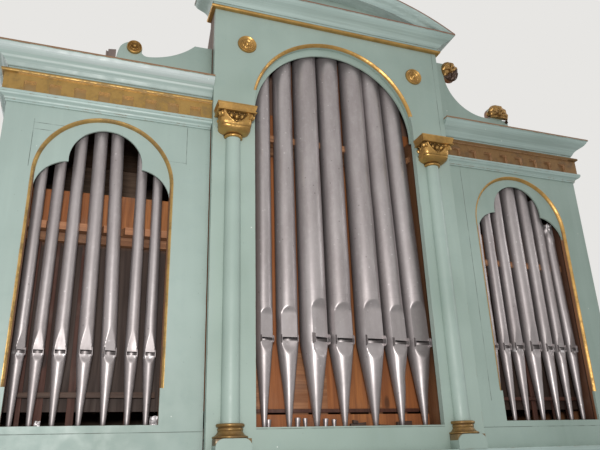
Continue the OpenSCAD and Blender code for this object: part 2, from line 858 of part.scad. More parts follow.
// An end wall of boards in a frame, with three fields
module end_wall() {
    depth = case_d - bay_t;
    high = sill_h + bay_top - plinth_h;
    fields = 3;
    rise = (high - frame_w) / fields;
    difference() {
        translate([-half_w, -case_d / 2 + bay_t, plinth_h]) cube([wall_t, depth, high]);
        for (i = [0 : fields - 1])
            translate([-half_w - 1, -case_d / 2 + bay_t + frame_w, plinth_h + frame_w + i * rise])
                cube([wall_t / 2 + 1, depth - 2 * frame_w, rise - frame_w]);
    }
}

module side_wall_left() {
    color(paint) end_wall();
}

module side_wall_right() {
    color(paint) mirror([1, 0, 0]) end_wall();
}

module back_wall() {
    high = sill_h + bay_top - plinth_h;
    w = case_w - 2 * wall_t;
    ledge_w = 90;
    ledge_t = 18;
    color(bare_wood) {
        translate([-w / 2, case_d / 2 - wall_t - ledge_t, plinth_h]) cube([w, wall_t, high]);
        for (z = [0, 0.5, 1])
            translate([-w / 2, case_d / 2 - ledge_t, plinth_h + z * (high - ledge_w)])
                cube([w, ledge_t, ledge_w]);
    }
}

// A pipe's outside, or its inside where inset is the metal's thickness: cone, body and flattened lips
module pipe_form(r, mouth, top, lip_h, inset) {
    flat = pipe_flat * r;
    past = inset > 0 ? 1 : 0;
    reach = 2 * r;
    slope = lip_h / (r - flat);
    rise = (reach - flat + inset) * slope;
    difference() {
        rotate_extrude()
            polygon([[0, -past], [toe_r - inset, -past], [toe_r - inset, 0], [r - inset, mouth],
                     [r - inset, top + past], [0, top + past]]);
        translate([-reach, 0, 0])
            rotate([90, 0, 90])
                linear_extrude(2 * reach)
                    polygon([[-flat + inset, mouth], [-reach, mouth + rise], [-reach, mouth - 0.7 * rise]]);
    }
}

// A metal flue pipe: cone foot, flattened lips round a mouth with ears, languid and open body
module flue_pipe(d, mouth, top, lip) {
    r = d / 2;
    cut_up = 0.2 * d;
    flat = pipe_flat * r;
    mouth_w = 1.46 * r;
    ear_out = 0.16 * d;
    slit = -flat + 2 * pipe_t;
    difference() {
        pipe_form(r, mouth, top, lip * d, 0);
        pipe_form(r, mouth, top, lip * d, pipe_t);
        translate([-mouth_w / 2, -r, mouth]) cube([mouth_w, r + slit + pipe_t, cut_up]);
    }
    difference() {
        translate([0, 0, mouth - pipe_t]) cylinder(r = r - pipe_t / 2, h = pipe_t);
        translate([-r, -r, mouth - 2 * pipe_t]) cube([d, r + slit, 4 * pipe_t]);
    }
    for (side = [0, 1])
        mirror([side, 0, 0])
            translate([mouth_w / 2, -flat - ear_out, mouth - 0.5 * cut_up])
                cube([pipe_t, ear_out + pipe_t / 2, 2 * cut_up]);
}

tower_lip = 1.3;
bay_lip = 1.1;

module bay_pipes(centres, diameters, mouth) {
    for (i = [0 : len(diameters) - 1])
        translate([-bay_x + centres[i], bay_pipe_y, bay_sill])
            flue_pipe(diameters[i], mouth, bay_pipe_top[i], bay_lip);
}

module pipes_left() {
    color(pipe_metal) on_facade() bay_pipes(left_pipe_x, left_pipe_d, left_mouth);
}

module pipes_right() {
    color(pipe_metal) on_facade() mirror([1, 0, 0]) bay_pipes(right_pipe_x, right_pipe_d, right_mouth);
}

module pipes_centre() {
    color(pipe_metal) on_facade()
        for (i = [0 : len(tower_pipe_d) - 1])
            translate([tower_pipe_x[i], tower_pipe_y, 0])
                flue_pipe(tower_pipe_d[i], tower_mouth, tower_pipe_top[i], tower_lip);
}

// A rack: a board behind a row of pipes, with blocks hollowed to their curves between them
module rack(half, y, top, block, centres, diameters) {
    clear = 0.3;
    difference() {
        union() {
            translate([-half, y + block, top - rack_h]) cube([2 * half, rack_t, rack_h]);
            translate([-half, y, top - rack_block_h]) cube([2 * half, block + 1, rack_block_h]);
        }
        for (i = [0 : len(centres) - 1])
            translate([centres[i], y, top - 2 * rack_h]) cylinder(r = diameters[i] / 2 + clear, h = 3 * rack_h);
    }
}

module bay_rack(centres, diameters) {
    half = (half_w - tower_half) / 2 - wall_t;
    middle = -(half_w + tower_half) / 2;
    places = [for (x = centres) x - middle - bay_x];
    translate([middle, 0, 0]) rack(half, bay_pipe_y, bay_rack_z, bay_block, places, diameters);
}

module rack_boards() {
    color(bare_wood) on_facade() {
        bay_rack(left_pipe_x, left_pipe_d);
        mirror([1, 0, 0]) bay_rack(right_pipe_x, right_pipe_d);
        rack(inner_cheek_x, tower_pipe_y, tower_rack_z, tower_block, tower_pipe_x, tower_pipe_d);
    }
}

module windchest() {
    chest_h = 190;
    chest_front = frame_t;
    color(dark_wood) on_facade() {
        translate([-tower_half, tower_face + tower_t, -toe_board_t])
            cube([tower_w, toe_board_d, toe_board_t]);
        for (side = [0, 1])
            mirror([side, 0, 0])
                translate([-half_w + wall_t, bay_t, bay_sill - toe_board_t])
                    cube([half_w - tower_half - wall_t, toe_board_d - bay_t, toe_board_t]);
        translate([-half_w + wall_t, chest_front, -toe_board_t - chest_h])
            cube([case_w - 2 * wall_t, toe_board_d - chest_front, chest_h]);
    }
}

module backing_boards() {
    front = tower_face + tower_t;
    inner_cheek_t = 20;
    color(bare_wood) on_facade() {
        upright(back_y, backing_t)
            translate([-tower_half + cheek_t, backing_z])
                square([tower_w - 2 * cheek_t, bay_top - backing_z]);
        for (side = [0, 1])
            mirror([side, 0, 0]) {
                upright(back_y, backing_t)
                    translate([-half_w + wall_t, backing_z])
                        square([half_w - tower_half - wall_t, bay_backing_top - backing_z]);
                translate([inner_cheek_x, front, 0]) cube([inner_cheek_t, back_y - front, inner_cheek_h]);
            }
        translate([-inner_cheek_x, back_y - rack_t, 0]) cube([2 * inner_cheek_x, rack_t, foot_board_h]);
    }
}

base_plinth();
lower_panel_left();
lower_panel_centre();
lower_panel_right();
impost_moulding();
facade_left();
facade_centre();
facade_right();
arch_moulding_left();
arch_moulding_centre();
arch_moulding_right();
pipe_shade_left();
pipe_shade_right();
column_shaft_left();
column_shaft_right();
capital_left();
capital_right();
column_bases();
pedestals();
rosettes();
tower_cornice();
tower_bead();
pediment_cornice();
tympanum();
side_cornice_left();
side_cornice_right();
dentil_band_left();
dentil_band_right();
architrave_left();
architrave_right();
scroll_left();
scroll_right();
tower_cheeks();
tower_back();
roof_sides();
roof_centre();
side_wall_left();
side_wall_right();
back_wall();
pipes_left();
pipes_centre();
pipes_right();
rack_boards();
windchest();
backing_boards();
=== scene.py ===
import math
import random

import bmesh
import bpy
import numpy as np
from mathutils import Matrix, Vector, noise


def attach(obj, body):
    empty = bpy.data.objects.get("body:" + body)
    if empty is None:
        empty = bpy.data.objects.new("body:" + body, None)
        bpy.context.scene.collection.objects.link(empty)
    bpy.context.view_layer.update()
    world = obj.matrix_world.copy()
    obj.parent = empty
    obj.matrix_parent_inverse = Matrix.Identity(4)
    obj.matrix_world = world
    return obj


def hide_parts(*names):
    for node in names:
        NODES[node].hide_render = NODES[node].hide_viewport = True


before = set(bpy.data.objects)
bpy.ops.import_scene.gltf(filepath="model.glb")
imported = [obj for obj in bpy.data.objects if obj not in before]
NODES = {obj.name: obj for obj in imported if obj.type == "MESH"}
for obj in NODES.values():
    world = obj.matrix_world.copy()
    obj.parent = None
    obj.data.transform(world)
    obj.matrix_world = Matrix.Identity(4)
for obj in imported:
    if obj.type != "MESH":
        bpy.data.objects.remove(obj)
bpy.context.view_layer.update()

MM = 0.001
scene = bpy.context.scene

# ---------------- the facade's own frame
CASE_D = 1000.0  # the case's depth
SILL = 1710.0  # the tower's sill above the floor
TOWER_FACE = -50.0  # the tower's front, in front of the side bays
SILL_Z = SILL * MM


def at(x, y, z):
    """A point in metres from millimetres: x from the case's middle, y back from the side bays' front and z up
    from the tower's sill."""
    return Vector((x, y - CASE_D / 2, z + SILL)) * MM


# ---------------- camera and lamps
CAMERA_PLACE = (-1.023, -2.777, 1.602)
CAMERA_ANGLES = (20.294, 20.873, -1.825)  # yaw, pitch and roll in degrees
LENS = 36.66
SENSOR = 36.0


def make_camera():
    data = bpy.data.cameras.new("camera")
    data.sensor_fit = "HORIZONTAL"
    data.sensor_width = SENSOR
    data.lens = LENS
    data.clip_start, data.clip_end = 0.05, 200.0
    camera = bpy.data.objects.new("camera", data)
    scene.collection.objects.link(camera)
    yaw, pitch, roll = (math.radians(a) for a in CAMERA_ANGLES)
    forward = Vector((math.sin(yaw) * math.cos(pitch), math.cos(yaw) * math.cos(pitch), math.sin(pitch)))
    level = Vector((math.cos(yaw), -math.sin(yaw), 0.0))
    rise = level.cross(forward)
    right = math.cos(roll) * level + math.sin(roll) * rise
    up = -math.sin(roll) * level + math.cos(roll) * rise
    turn = Matrix((right, up, -forward)).transposed().to_4x4()
    camera.matrix_world = Matrix.Translation(CAMERA_PLACE) @ turn
    scene.camera = camera


def area_lamp(name, place, aim, size, power, colour=(1.0, 1.0, 1.0)):
    data = bpy.data.lights.new(name, "AREA")
    data.shape = "DISK"
    data.size = size
    data.energy = power
    data.color = colour
    lamp = bpy.data.objects.new(name, data)
    lamp.location = place
    lamp.rotation_mode = "QUATERNION"
    lamp.rotation_quaternion = (Vector(aim) - Vector(place)).to_track_quat("-Z", "Y")
    scene.collection.objects.link(lamp)


# ---------------- node helpers
class Shader:
    """A material under construction, with short calls for its nodes."""

    def __init__(self, name):
        self.material = bpy.data.materials.new(name)
        self.material.use_nodes = True
        self.tree = self.material.node_tree
        self.surface = self.tree.nodes["Principled BSDF"]
        self.colour = None
        self.place = self.node("TexCoord").outputs["Object"]

    def node(self, kind, inputs=None, **settings):
        made = self.tree.nodes.new("ShaderNode" + kind)
        for key, value in settings.items():
            setattr(made, key, value)
        for key, value in (inputs or {}).items():
            self.feed(made.inputs[key], value)
        return made

    def feed(self, socket, value):
        if isinstance(value, bpy.types.NodeSocket):
            self.tree.links.new(value, socket)
        elif isinstance(value, tuple) and socket.type == "RGBA":
            socket.default_value = (*value, 1.0)
        elif value is not None:
            socket.default_value = value

    def stretched(self, scale, offset=(0.0, 0.0, 0.0)):
        return self.node("Mapping", {"Vector": self.place, "Scale": scale, "Location": offset}).outputs[0]

    def noise(self, scale, detail=3.0, rough=0.5, vector=None, distortion=0.0):
        return self.node("TexNoise", {
            "Vector": vector or self.place, "Scale": scale, "Detail": detail, "Roughness": rough,
            "Distortion": distortion}).outputs["Fac"]

    def cells(self, scale, vector=None):
        made = self.node("TexVoronoi", {"Vector": vector or self.place, "Scale": scale})
        return made.outputs["Distance"]

    def math(self, operation, a, b=0.0, c=0.0, clamp=False):
        return self.node("Math", {0: a, 1: b, 2: c}, operation=operation, use_clamp=clamp).outputs[0]

    def times(self, a, b, plus=None):
        return self.math("MULTIPLY", a, b) if plus is None else self.math("MULTIPLY_ADD", a, b, plus)

    def span(self, value, low, high, to_low=0.0, to_high=1.0):
        """A smooth step from to_low at low to to_high at high."""
        return self.node("MapRange", {
            "Value": value, "From Min": low, "From Max": high, "To Min": to_low, "To Max": to_high},
            interpolation_type="SMOOTHSTEP").outputs["Result"]

    def mix(self, share, a, b):
        made = self.node("Mix", data_type="RGBA")
        self.feed(made.inputs[0], share)
        self.feed(made.inputs[6], a)
        self.feed(made.inputs[7], b)
        return made.outputs[2]

    def lay(self, tint, value, low=None, high=None, share=1.0):
        """Put a tint over the colour, by a value or by its step from low to high, up to a share."""
        if low is not None:
            value = self.span(value, low, high, 0.0, share)
        self.colour = self.mix(value, self.colour, tint)

    def axis(self, name):
        """A coordinate of the point in metres."""
        return self.node("SeparateXYZ", {0: self.place}).outputs[name]

    def from_middle(self):
        return self.math("ABSOLUTE", self.axis("X"))

    def mark(self):
        return self.node("Attribute", attribute_name="mark").outputs["Fac"]

    def crevice(self, distance):
        """1 deep in a corner, 0 on an open face."""
        ao = self.node("AmbientOcclusion", {"Distance": distance}, samples=6).outputs["AO"]
        return self.math("SUBTRACT", 1.0, ao, clamp=True)

    def edge(self, radius):
        """1 on a sharp edge, 0 on a face."""
        soft = self.node("Bevel", {"Radius": radius}, samples=4).outputs[0]
        hard = self.node("NewGeometry").outputs["Normal"]
        dot = self.node("VectorMath", {0: soft, 1: hard}, operation="DOT_PRODUCT").outputs["Value"]
        return self.span(dot, 0.995, 0.85)

    def bump(self, height, distance, strength, normal=None):
        inputs = {"Height": height, "Distance": distance, "Strength": strength, "Normal": normal}
        return self.node("Bump", inputs).outputs[0]

    def band(self, value, centre, half, soft):
        """1 within half of centre, 0 beyond half + soft."""
        off = self.math("ABSOLUTE", self.math("SUBTRACT", value, centre))
        return self.span(off, half + soft, half)

    def finish(self, roughness, normal=None, metallic=0.0):
        inputs = {"Base Color": self.colour, "Roughness": roughness, "Metallic": metallic, "Normal": normal}
        for key, value in inputs.items():
            self.feed(self.surface.inputs[key], value)
        return self.material


# ---------------- materials
RAW_WOOD = (0.16, 0.075, 0.035)
BARE_LIGHT, BARE_DARK = (0.30, 0.135, 0.06), (0.15, 0.062, 0.03)
LEG_LIGHT, LEG_DARK = (0.20, 0.095, 0.042), (0.11, 0.050, 0.026)
CHIPPED = (0.72, 0.74, 0.70)
GROOVE = (0.055, 0.06, 0.05)
LEAF_LOST = (0.052, 0.026, 0.014)
DUST = (0.24, 0.22, 0.19)
# the near black of the painted shade on the low outer backing boards
SHADE_BLACK = (0.012, 0.008, 0.007)
METAL_BRIGHT, METAL_BLACK = (0.86, 0.83, 0.84), (0.045, 0.035, 0.035)
LEG_END = (SILL + 930.0) * MM  # below it, the sides of the arches' gilded legs are plain wood
NOTCH_BACK = (-0.512, -0.509)  # the depth past which a band's face is a notch's back
BAND_FRONT = (1.366, 1.362)  # a band's front ends here, from the middle, and its return starts
NOTCHES_END = (1.345, 1.335)  # no notch lies further out


def tinted(colour, *factors):
    """A colour times one factor, or times one for each channel."""
    return tuple(c * f for c, f in zip(colour, factors * 3 if len(factors) == 1 else factors))


def board_joints(s, lines):
    """1 in the joints between boards, 0 elsewhere."""
    groove = None
    for way, place, (other, low, high) in lines:
        wander = s.times(s.noise(6.0, 2.0), 0.0016, place - 0.0008)
        off = s.math("ABSOLUTE", s.math("SUBTRACT", s.axis(way), wander))
        reach = s.band(s.axis(other), (low + high) / 2, (high - low) / 2, 0.004)
        line = s.times(s.span(off, 0.0016, 0.0005), reach)
        groove = line if groove is None else s.math("MAXIMUM", groove, line)
    return groove


def past_rim(s, limit, centre=None):
    """How far a point is above a height, or outside a circle whose centre is at a height."""
    if centre is None:
        return s.math("SUBTRACT", s.axis("Z"), limit)
    rise = s.math("SUBTRACT", s.axis("Z"), centre)
    x = s.axis("X")
    radius = s.math("SQRT", s.times(x, x, s.times(rise, rise)))
    return s.math("SUBTRACT", radius, limit)


def paint(name, base, grain="Z", lines=(), wear=0.55, raw=RAW_WOOD, rim=None, bare_back=None, bare_inside=None,
          rough=0.42, light_bands=()):
    """Matt oil paint over boards: patches, brush streaks along the grain, painted shade in corners, raw wood at worn
    edges.
    A line is a joint between boards: (axis, place, (other axis, low, high)) in metres. Past the rim, a height or a
    radius with its centre's height, the paint is off. A light band is (low, high, tint, share) in height: a band of
    painted light or painted shade. Faces further back than bare_back, or closer to the middle than bare_inside, are
    bare wood."""
    s = Shader(name)
    along = {"X": (0.16, 3.0, 3.0), "Z": (3.0, 3.0, 0.16)}[grain]
    streak = s.noise(9.0, 5.0, 0.6, s.stretched(along))
    patch = s.noise(1.3, 3.0, 0.55)
    mottle = s.noise(14.0, 4.0, 0.6)
    s.colour = s.mix(s.span(patch, 0.32, 0.68), tinted(base, 0.80, 0.83, 0.80), tinted(base, 1.16))
    s.lay(base, streak, 0.3, 0.7, 0.42)
    s.lay(tinted(base, 0.86, 0.92, 0.95), mottle, 0.5, 0.75, 0.22)
    s.lay(tinted(base, 0.45, 0.45, 0.40), s.cells(26.0), 0.055, 0.03, 0.5)
    s.lay(CHIPPED, s.cells(11.0, s.stretched((1.0, 1.0, 1.0), (3.1, 0.7, 5.3))), 0.035, 0.02, 0.8)
    height = s.math("ADD", s.times(streak, 0.6), s.times(mottle, 0.4))
    if grain == "X":
        lined = s.noise(52.0, 3.0, 0.6, s.stretched((0.03, 2.2, 2.2), (1.3, 0.4, 2.2)))
        s.lay(tinted(base, 1.45), lined, 0.45, 0.7, 0.35)
        s.lay(tinted(base, 0.72), lined, 0.5, 0.3, 0.30)
        height = s.times(lined, 0.9, height)
    # Painted light and painted shade, in bands of height.
    for low, high, tint, share in light_bands:
        reach = s.band(s.axis("Z"), (low + high) / 2, (high - low) / 2, 0.003)
        uneven = s.span(s.noise(12.0, 3.0, 0.6, s.stretched((0.2, 2.0, 2.0))), 0.3, 0.6, 0.5, 1.0)
        s.lay(tint, s.times(s.times(reach, uneven), share))
    if lines:
        groove = board_joints(s, lines)
        broken = s.span(s.noise(17.0, 3.0), 0.35, 0.55, 0.25, 0.85)
        s.lay(GROOVE, s.times(groove, broken))
        height = s.math("SUBTRACT", height, groove)
    # Painted shade: darker in corners and creases, by the ambient occlusion, in patches.
    corner_shade = s.times(s.span(s.crevice(0.05), 0.25, 0.85), s.span(mottle, 0.3, 0.6, 0.35, 0.8))
    s.lay(tinted(base, 0.34, 0.36, 0.32), corner_shade)
    rub = s.times(s.edge(0.004), s.span(s.noise(23.0, 4.0, 0.65), 0.50, 0.62))
    s.lay(raw, s.times(rub, wear))
    if rim:
        ragged = s.times(s.noise(30.0, 3.0), 0.004, past_rim(s, *rim))
        s.lay(tinted(raw, 1.1, 0.95, 0.9), ragged, 0.0, 0.002, 0.9)
    if bare_back or bare_inside:
        if bare_inside:
            depth, limit = s.times(s.from_middle(), -1.0), -bare_inside
        else:
            depth, limit = s.axis("Y"), bare_back
        bare = s.span(s.times(s.noise(40.0, 3.0), 0.003, depth), limit, limit + 0.0015)
        s.lay(s.mix(s.span(streak, 0.35, 0.65), BARE_LIGHT, BARE_DARK), bare)
    return s.finish(s.span(mottle, 0.3, 0.7, rough, rough + 0.18), s.bump(height, 0.0008, 0.5))


def gilding(name, gold, worn, shine=0.85, rub=0.5, stop=None, notches=None):
    """Old gilding: gold leaf over bole, browner where it has worn, darker in the hollows as painted shade, and lost
    where the mark is 1.
    Below LEG_END, the leaf ends at the depth stop, with plain wood behind it. notches gives two colours: painted
    light on the walls of a band's notches that face down or sideways, and the colour of the notches' backs."""
    s = Shader(name)
    blotch = s.noise(16.0, 5.0, 0.62)
    fine = s.noise(90.0, 4.0, 0.6)
    bare = s.span(s.times(fine, 0.35, s.times(blotch, 0.65)), 0.47, 0.62)
    hollow = s.span(s.crevice(0.018), 0.2, 0.8)
    share = s.times(bare, rub)
    s.colour = s.mix(s.span(blotch, 0.35, 0.65), gold, tinted(gold, 0.82, 0.80, 0.72))
    s.lay(worn, share)
    # Painted shade: darker in the hollows, by the ambient occlusion.
    s.lay(tinted(worn, 0.32, 0.27, 0.25), s.times(hollow, 0.30 if notches else 0.85))
    lost = s.span(s.mark(), 0.2, 0.8)
    s.lay(LEAF_LOST, lost)
    metal = s.times(s.math("MAXIMUM", s.math("MAXIMUM", share, hollow), lost), -0.5, shine)
    if stop:
        deep = s.span(s.times(blotch, 0.002, s.axis("Y")), stop, stop + 0.0012)
        plain = s.times(deep, s.span(s.axis("Z"), LEG_END + 0.02, LEG_END - 0.02))
        s.lay(s.mix(fine, LEG_LIGHT, LEG_DARK), plain)
        metal = s.times(metal, s.math("SUBTRACT", 1.0, plain))
    if notches:
        walls, backs = notches
        deep = s.times(s.span(s.axis("Y"), *NOTCH_BACK), s.span(s.from_middle(), *BAND_FRONT))
        s.lay(backs, s.times(deep, s.span(blotch, 0.3, 0.6, 0.55, 0.95)))
        # Painted light: the notches' walls that face down or sideways are made lighter, as if lit.
        facing = s.node("SeparateXYZ", {0: s.node("NewGeometry").outputs["Normal"]})
        under = s.span(facing.outputs["Z"], -0.75, -0.97)
        beside = s.span(s.math("ABSOLUTE", facing.outputs["X"]), 0.9, 0.99)
        kept = s.times(s.math("MAXIMUM", under, beside), s.span(fine, 0.3, 0.55, 0.45, 0.95))
        s.lay(walls, s.times(kept, s.span(s.from_middle(), *NOTCHES_END)))
    rough = s.span(s.math("ADD", fine, s.times(share, 0.5)), 0.3, 1.0, 0.33, 0.6)
    return s.finish(rough, s.bump(s.math("ADD", fine, blotch), 0.0009, 0.55), metal)


def wood(name, light, dark, grain="Z", scale=1.0, dust=0.15, low_shade=None):
    """Bare boards: grain along one axis, darker bands, knots, dust, and painted shade in the corners. Further from
    the middle than low_shade[0] and below the height low_shade[1], they are painted nearly black as shade."""
    s = Shader(name)
    squeeze = {"X": (0.05, 1.0, 1.0), "Z": (1.0, 1.0, 0.05)}[grain]
    vector = s.stretched(tinted(squeeze, scale))
    bands = s.noise(46.0, 6.0, 0.62, vector, 0.6)
    fibre = s.noise(210.0, 3.0, 0.6, vector)
    tone = s.noise(2.6, 2.0, 0.5, s.stretched(squeeze, (4.0, 1.0, 9.0)))
    s.colour = s.mix(s.span(bands, 0.34, 0.66), light, dark)
    s.lay(tinted(dark, 0.5), fibre, 0.4, 0.75, 0.45)
    s.lay(tinted(light, 0.75, 0.62, 0.6), tone, 0.4, 0.62, 0.55)
    knots = s.cells(4.2, s.stretched((1.0, 1.0, 0.45) if grain == "Z" else (0.45, 1.0, 1.0), (0.4, 2.0, 0.8)))
    s.lay(tinted(dark, 0.4), knots, 0.075, 0.03, 0.85)
    grey = s.span(s.noise(7.0, 4.0, 0.6), 0.5, 0.75, 0.0, dust)
    s.lay(DUST, grey)
    # Painted shade: darker in the corners, by the ambient occlusion.
    s.lay(tinted(dark, 0.22), s.crevice(0.06), 0.3, 0.95, 0.75)
    # Painted shade: boards far from the middle and low down are made nearly black.
    if low_shade:
        out = s.span(s.from_middle(), low_shade[0], low_shade[0] + 0.01)
        low = s.span(s.times(s.noise(4.0, 3.0), 0.05, s.axis("Z")), low_shade[1] + 0.06, low_shade[1])
        s.lay(SHADE_BLACK, s.times(s.times(out, low), 0.93))
    return s.finish(s.span(bands, 0.2, 0.8, 0.6, 0.8), s.bump(s.math("ADD", bands, fibre), 0.0012, 0.6))


def pipe_metal(name, base, bright, dark, rough):
    """Tin and lead sheet: grey with a mauve cast, oxidised in clouds, spotted, rubbed bright in places. A mark
    above 0 is bright bare metal, and one below 0 is a dark seam."""
    s = Shader(name)
    cloud = s.noise(5.5, 5.0, 0.62, s.stretched((2.0, 2.0, 0.55)))
    mottle = s.noise(60.0, 4.0, 0.65)
    s.colour = s.mix(s.span(cloud, 0.3, 0.7), base, dark)
    s.lay(bright, mottle, 0.48, 0.75, 0.12)
    spotted = s.times(s.span(s.cells(30.0), 0.13, 0.07), s.span(s.noise(3.0, 2.0), 0.46, 0.6))
    s.lay(bright, s.times(spotted, 0.55))
    pits = s.cells(19.0, s.stretched((1.0, 1.0, 1.0), (1.7, 2.9, 0.3)))
    s.lay(tinted(dark, 0.4), pits, 0.08, 0.045, 0.5)
    mark = s.mark()
    s.lay(METAL_BRIGHT, mark, 0.05, 1.0)
    s.lay(METAL_BLACK, mark, -0.05, -1.0)
    # Painted shade: darker in the crevices, by the ambient occlusion.
    grey = s.span(s.crevice(0.03), 0.45, 1.0, 0.0, 0.55)
    s.lay(tinted(dark, 0.45), grey)
    wrinkle = s.noise(13.0, 2.0, 0.5, s.stretched((1.0, 1.0, 0.5)))
    normal = s.bump(wrinkle, 0.004, 0.2, s.bump(mottle, 0.0004, 0.35))
    lustre = s.span(s.math("ADD", cloud, s.times(mottle, 0.3)), 0.45, 0.85, rough - 0.06, rough + 0.1)
    return s.finish(lustre, normal, 0.72)


TOWER_HALF = 0.575
CASE_END = 1.372
FACADE_LINES_LEFT = [
    ("X", -0.672, ("Z", SILL_Z + 1.035, SILL_Z + 1.205)),
    ("Z", SILL_Z + 1.040, ("X", -0.745, -0.672)),
    ("X", -1.262, ("Z", SILL_Z + 0.95, SILL_Z + 1.15)),
    ("Z", SILL_Z + 1.108, ("X", -1.262, -1.165)),
    ("Z", SILL_Z + 1.136, ("X", -1.262, -1.150)),
    ("Z", SILL_Z - 0.010, ("X", -CASE_END, -TOWER_HALF)),
]
FACADE_LINES_RIGHT = [
    ("X", 0.668, ("Z", SILL_Z + 0.10, SILL_Z + 1.205)),
    ("Z", SILL_Z - 0.010, ("X", TOWER_HALF, CASE_END)),
]
FACADE_LINES_CENTRE = [
    ("X", 0.548, ("Z", SILL_Z + 1.30, SILL_Z + 1.81)),
    ("Z", SILL_Z - 0.006, ("X", -0.39, 0.39)),
]
BOARD_BACK = -0.4875  # the facade boards' faces further back are bare
WALL_INSIDE = 1.3475  # the side walls' faces closer to the middle are bare

SIDE_TOP = (SILL + 1440.0) * MM
SIDE_RIM = (SIDE_TOP - 0.0065,)
TOWER_RIM = ((SILL + 1905.0) * MM - 0.006,)
CURVE_RIM = (1.280 - 0.006, (SILL + 805.3) * MM)
CORNICE_PAINTED_LIGHT = [  # the left cornice's painted light: lighter above its ridge, a painted highlight on the ridge and painted shade below it
    (SIDE_TOP - 0.034, SIDE_TOP - 0.012, (0.50, 0.53, 0.54), 0.55),
    (SIDE_TOP - 0.0465, SIDE_TOP - 0.0445, (0.66, 0.74, 0.72), 0.9),
    (SIDE_TOP - 0.088, SIDE_TOP - 0.051, (0.25, 0.32, 0.30), 0.45),
]

PAINT_LEFT = (0.308, 0.385, 0.352)
PAINT_CENTRE = (0.308, 0.385, 0.343)
PAINT_RIGHT = (0.298, 0.375, 0.335)
PAINT_CASE = (0.285, 0.360, 0.322)
PAINT_BLUE = (0.335, 0.420, 0.395)
RAW_OCHRE = (0.20, 0.10, 0.03)
RAW_RED = (0.19, 0.075, 0.03)


def moulding(name, raw, rim, rough, wear=0.7, light_bands=()):
    return paint(name, PAINT_BLUE, "X", wear=wear, raw=raw, rim=rim, rough=rough, light_bands=light_bands)


mats = {
    "facade_left": paint("paint_left", PAINT_LEFT, "Z", FACADE_LINES_LEFT, bare_back=BOARD_BACK),
    "facade_centre": paint("paint_centre", PAINT_CENTRE, "Z", FACADE_LINES_CENTRE),
    "facade_right": paint("paint_right", PAINT_RIGHT, "Z", FACADE_LINES_RIGHT, bare_back=BOARD_BACK),
    "shade_left": paint("paint_shade_left", PAINT_LEFT),
    "shade_right": paint("paint_shade_right", PAINT_RIGHT),
    "mould": moulding("paint_mouldings", RAW_OCHRE, None, 0.34, 0.8),
    "mould_side": moulding("paint_side_cornices", RAW_OCHRE, SIDE_RIM, 0.32),
    "mould_side_left_lit": moulding("paint_side_cornice_left_lit", RAW_OCHRE, SIDE_RIM, 0.36, light_bands=CORNICE_PAINTED_LIGHT),
    "mould_tower": moulding("paint_tower_cornice", RAW_RED, TOWER_RIM, 0.34),
    "mould_curve": moulding("paint_curved_cornice", RAW_RED, CURVE_RIM, 0.34),
    "case": paint("paint_case", PAINT_CASE, wear=0.6),
    "wall": paint("paint_walls", PAINT_CASE, wear=0.6, bare_inside=WALL_INSIDE),
    "shaft": paint("paint_shafts", (0.315, 0.395, 0.355), wear=0.2),
    "gilt": gilding("gilding", (0.50, 0.295, 0.095), (0.20, 0.115, 0.035)),
    # The first colour of notches is painted light on the notches' walls, the second is the colour of their backs.
    "gilt_band": gilding("gilding_bands", (0.40, 0.245, 0.075), (0.22, 0.14, 0.05), 0.6, 0.75,
                         notches=((0.72, 0.50, 0.25), (0.31, 0.20, 0.085))),
    "gilt_band_dull": gilding("gilding_band_right", (0.21, 0.115, 0.042), (0.11, 0.06, 0.025), 0.6, 0.75,
                              notches=((0.62, 0.40, 0.24), (0.20, 0.115, 0.052))),
    "gilt_base": gilding("gilding_bases", (0.28, 0.17, 0.06), (0.13, 0.075, 0.032), 0.7, 0.6),
    "gilt_block": gilding("gilding_blocks", (0.19, 0.125, 0.052), (0.10, 0.062, 0.030), 0.25, 0.6),
    "gilt_ring": gilding("gilding_rings", (0.52, 0.31, 0.10), (0.27, 0.15, 0.05), 0.8, 0.35),
    "gilt_leg_left": gilding("gilding_ring_left", (0.46, 0.29, 0.10), (0.17, 0.11, 0.045), 0.7, 0.65, -0.4945),
    "gilt_leg_right": gilding("gilding_ring_right", (0.52, 0.31, 0.10), (0.24, 0.14, 0.05), 0.8, 0.4, -0.4915),
    # Painted shade: the backing boards far from the middle and low down are made nearly black.
    "wood_inside": wood("bare_wood_inside", (0.42, 0.155, 0.043), (0.205, 0.070, 0.022), low_shade=(0.58, SILL_Z + 0.70)),
    "wood_red": wood("bare_wood_slats", (0.105, 0.036, 0.020), (0.048, 0.018, 0.012)),
    "wood_lining": wood("bare_wood_lining", (0.125, 0.050, 0.024), (0.070, 0.028, 0.015)),
    "wood_cheek": wood("bare_wood_cheek", (0.30, 0.145, 0.060), (0.16, 0.070, 0.030)),
    "wood_grey": wood("bare_wood_grey", (0.24, 0.20, 0.18), (0.14, 0.11, 0.10)),
    "wood_cross": wood("bare_wood_racks", (0.46, 0.22, 0.10), (0.20, 0.085, 0.036), "X"),
    "wood_rough": wood("bare_wood_rough", (0.20, 0.125, 0.09), (0.085, 0.055, 0.042), "Z", 1.3, 0.3),
    "wood_roof": wood("bare_wood_roof", (0.23, 0.15, 0.10), (0.11, 0.07, 0.045), "X", 1.0, 0.4),
    "wood_dark": wood("dark_wood", (0.10, 0.055, 0.035), (0.045, 0.025, 0.018), "X", 1.0, 0.2),
    "metal": pipe_metal("pipe_metal", (0.43, 0.393, 0.394), (0.70, 0.66, 0.67), (0.325, 0.290, 0.290), 0.43),
}

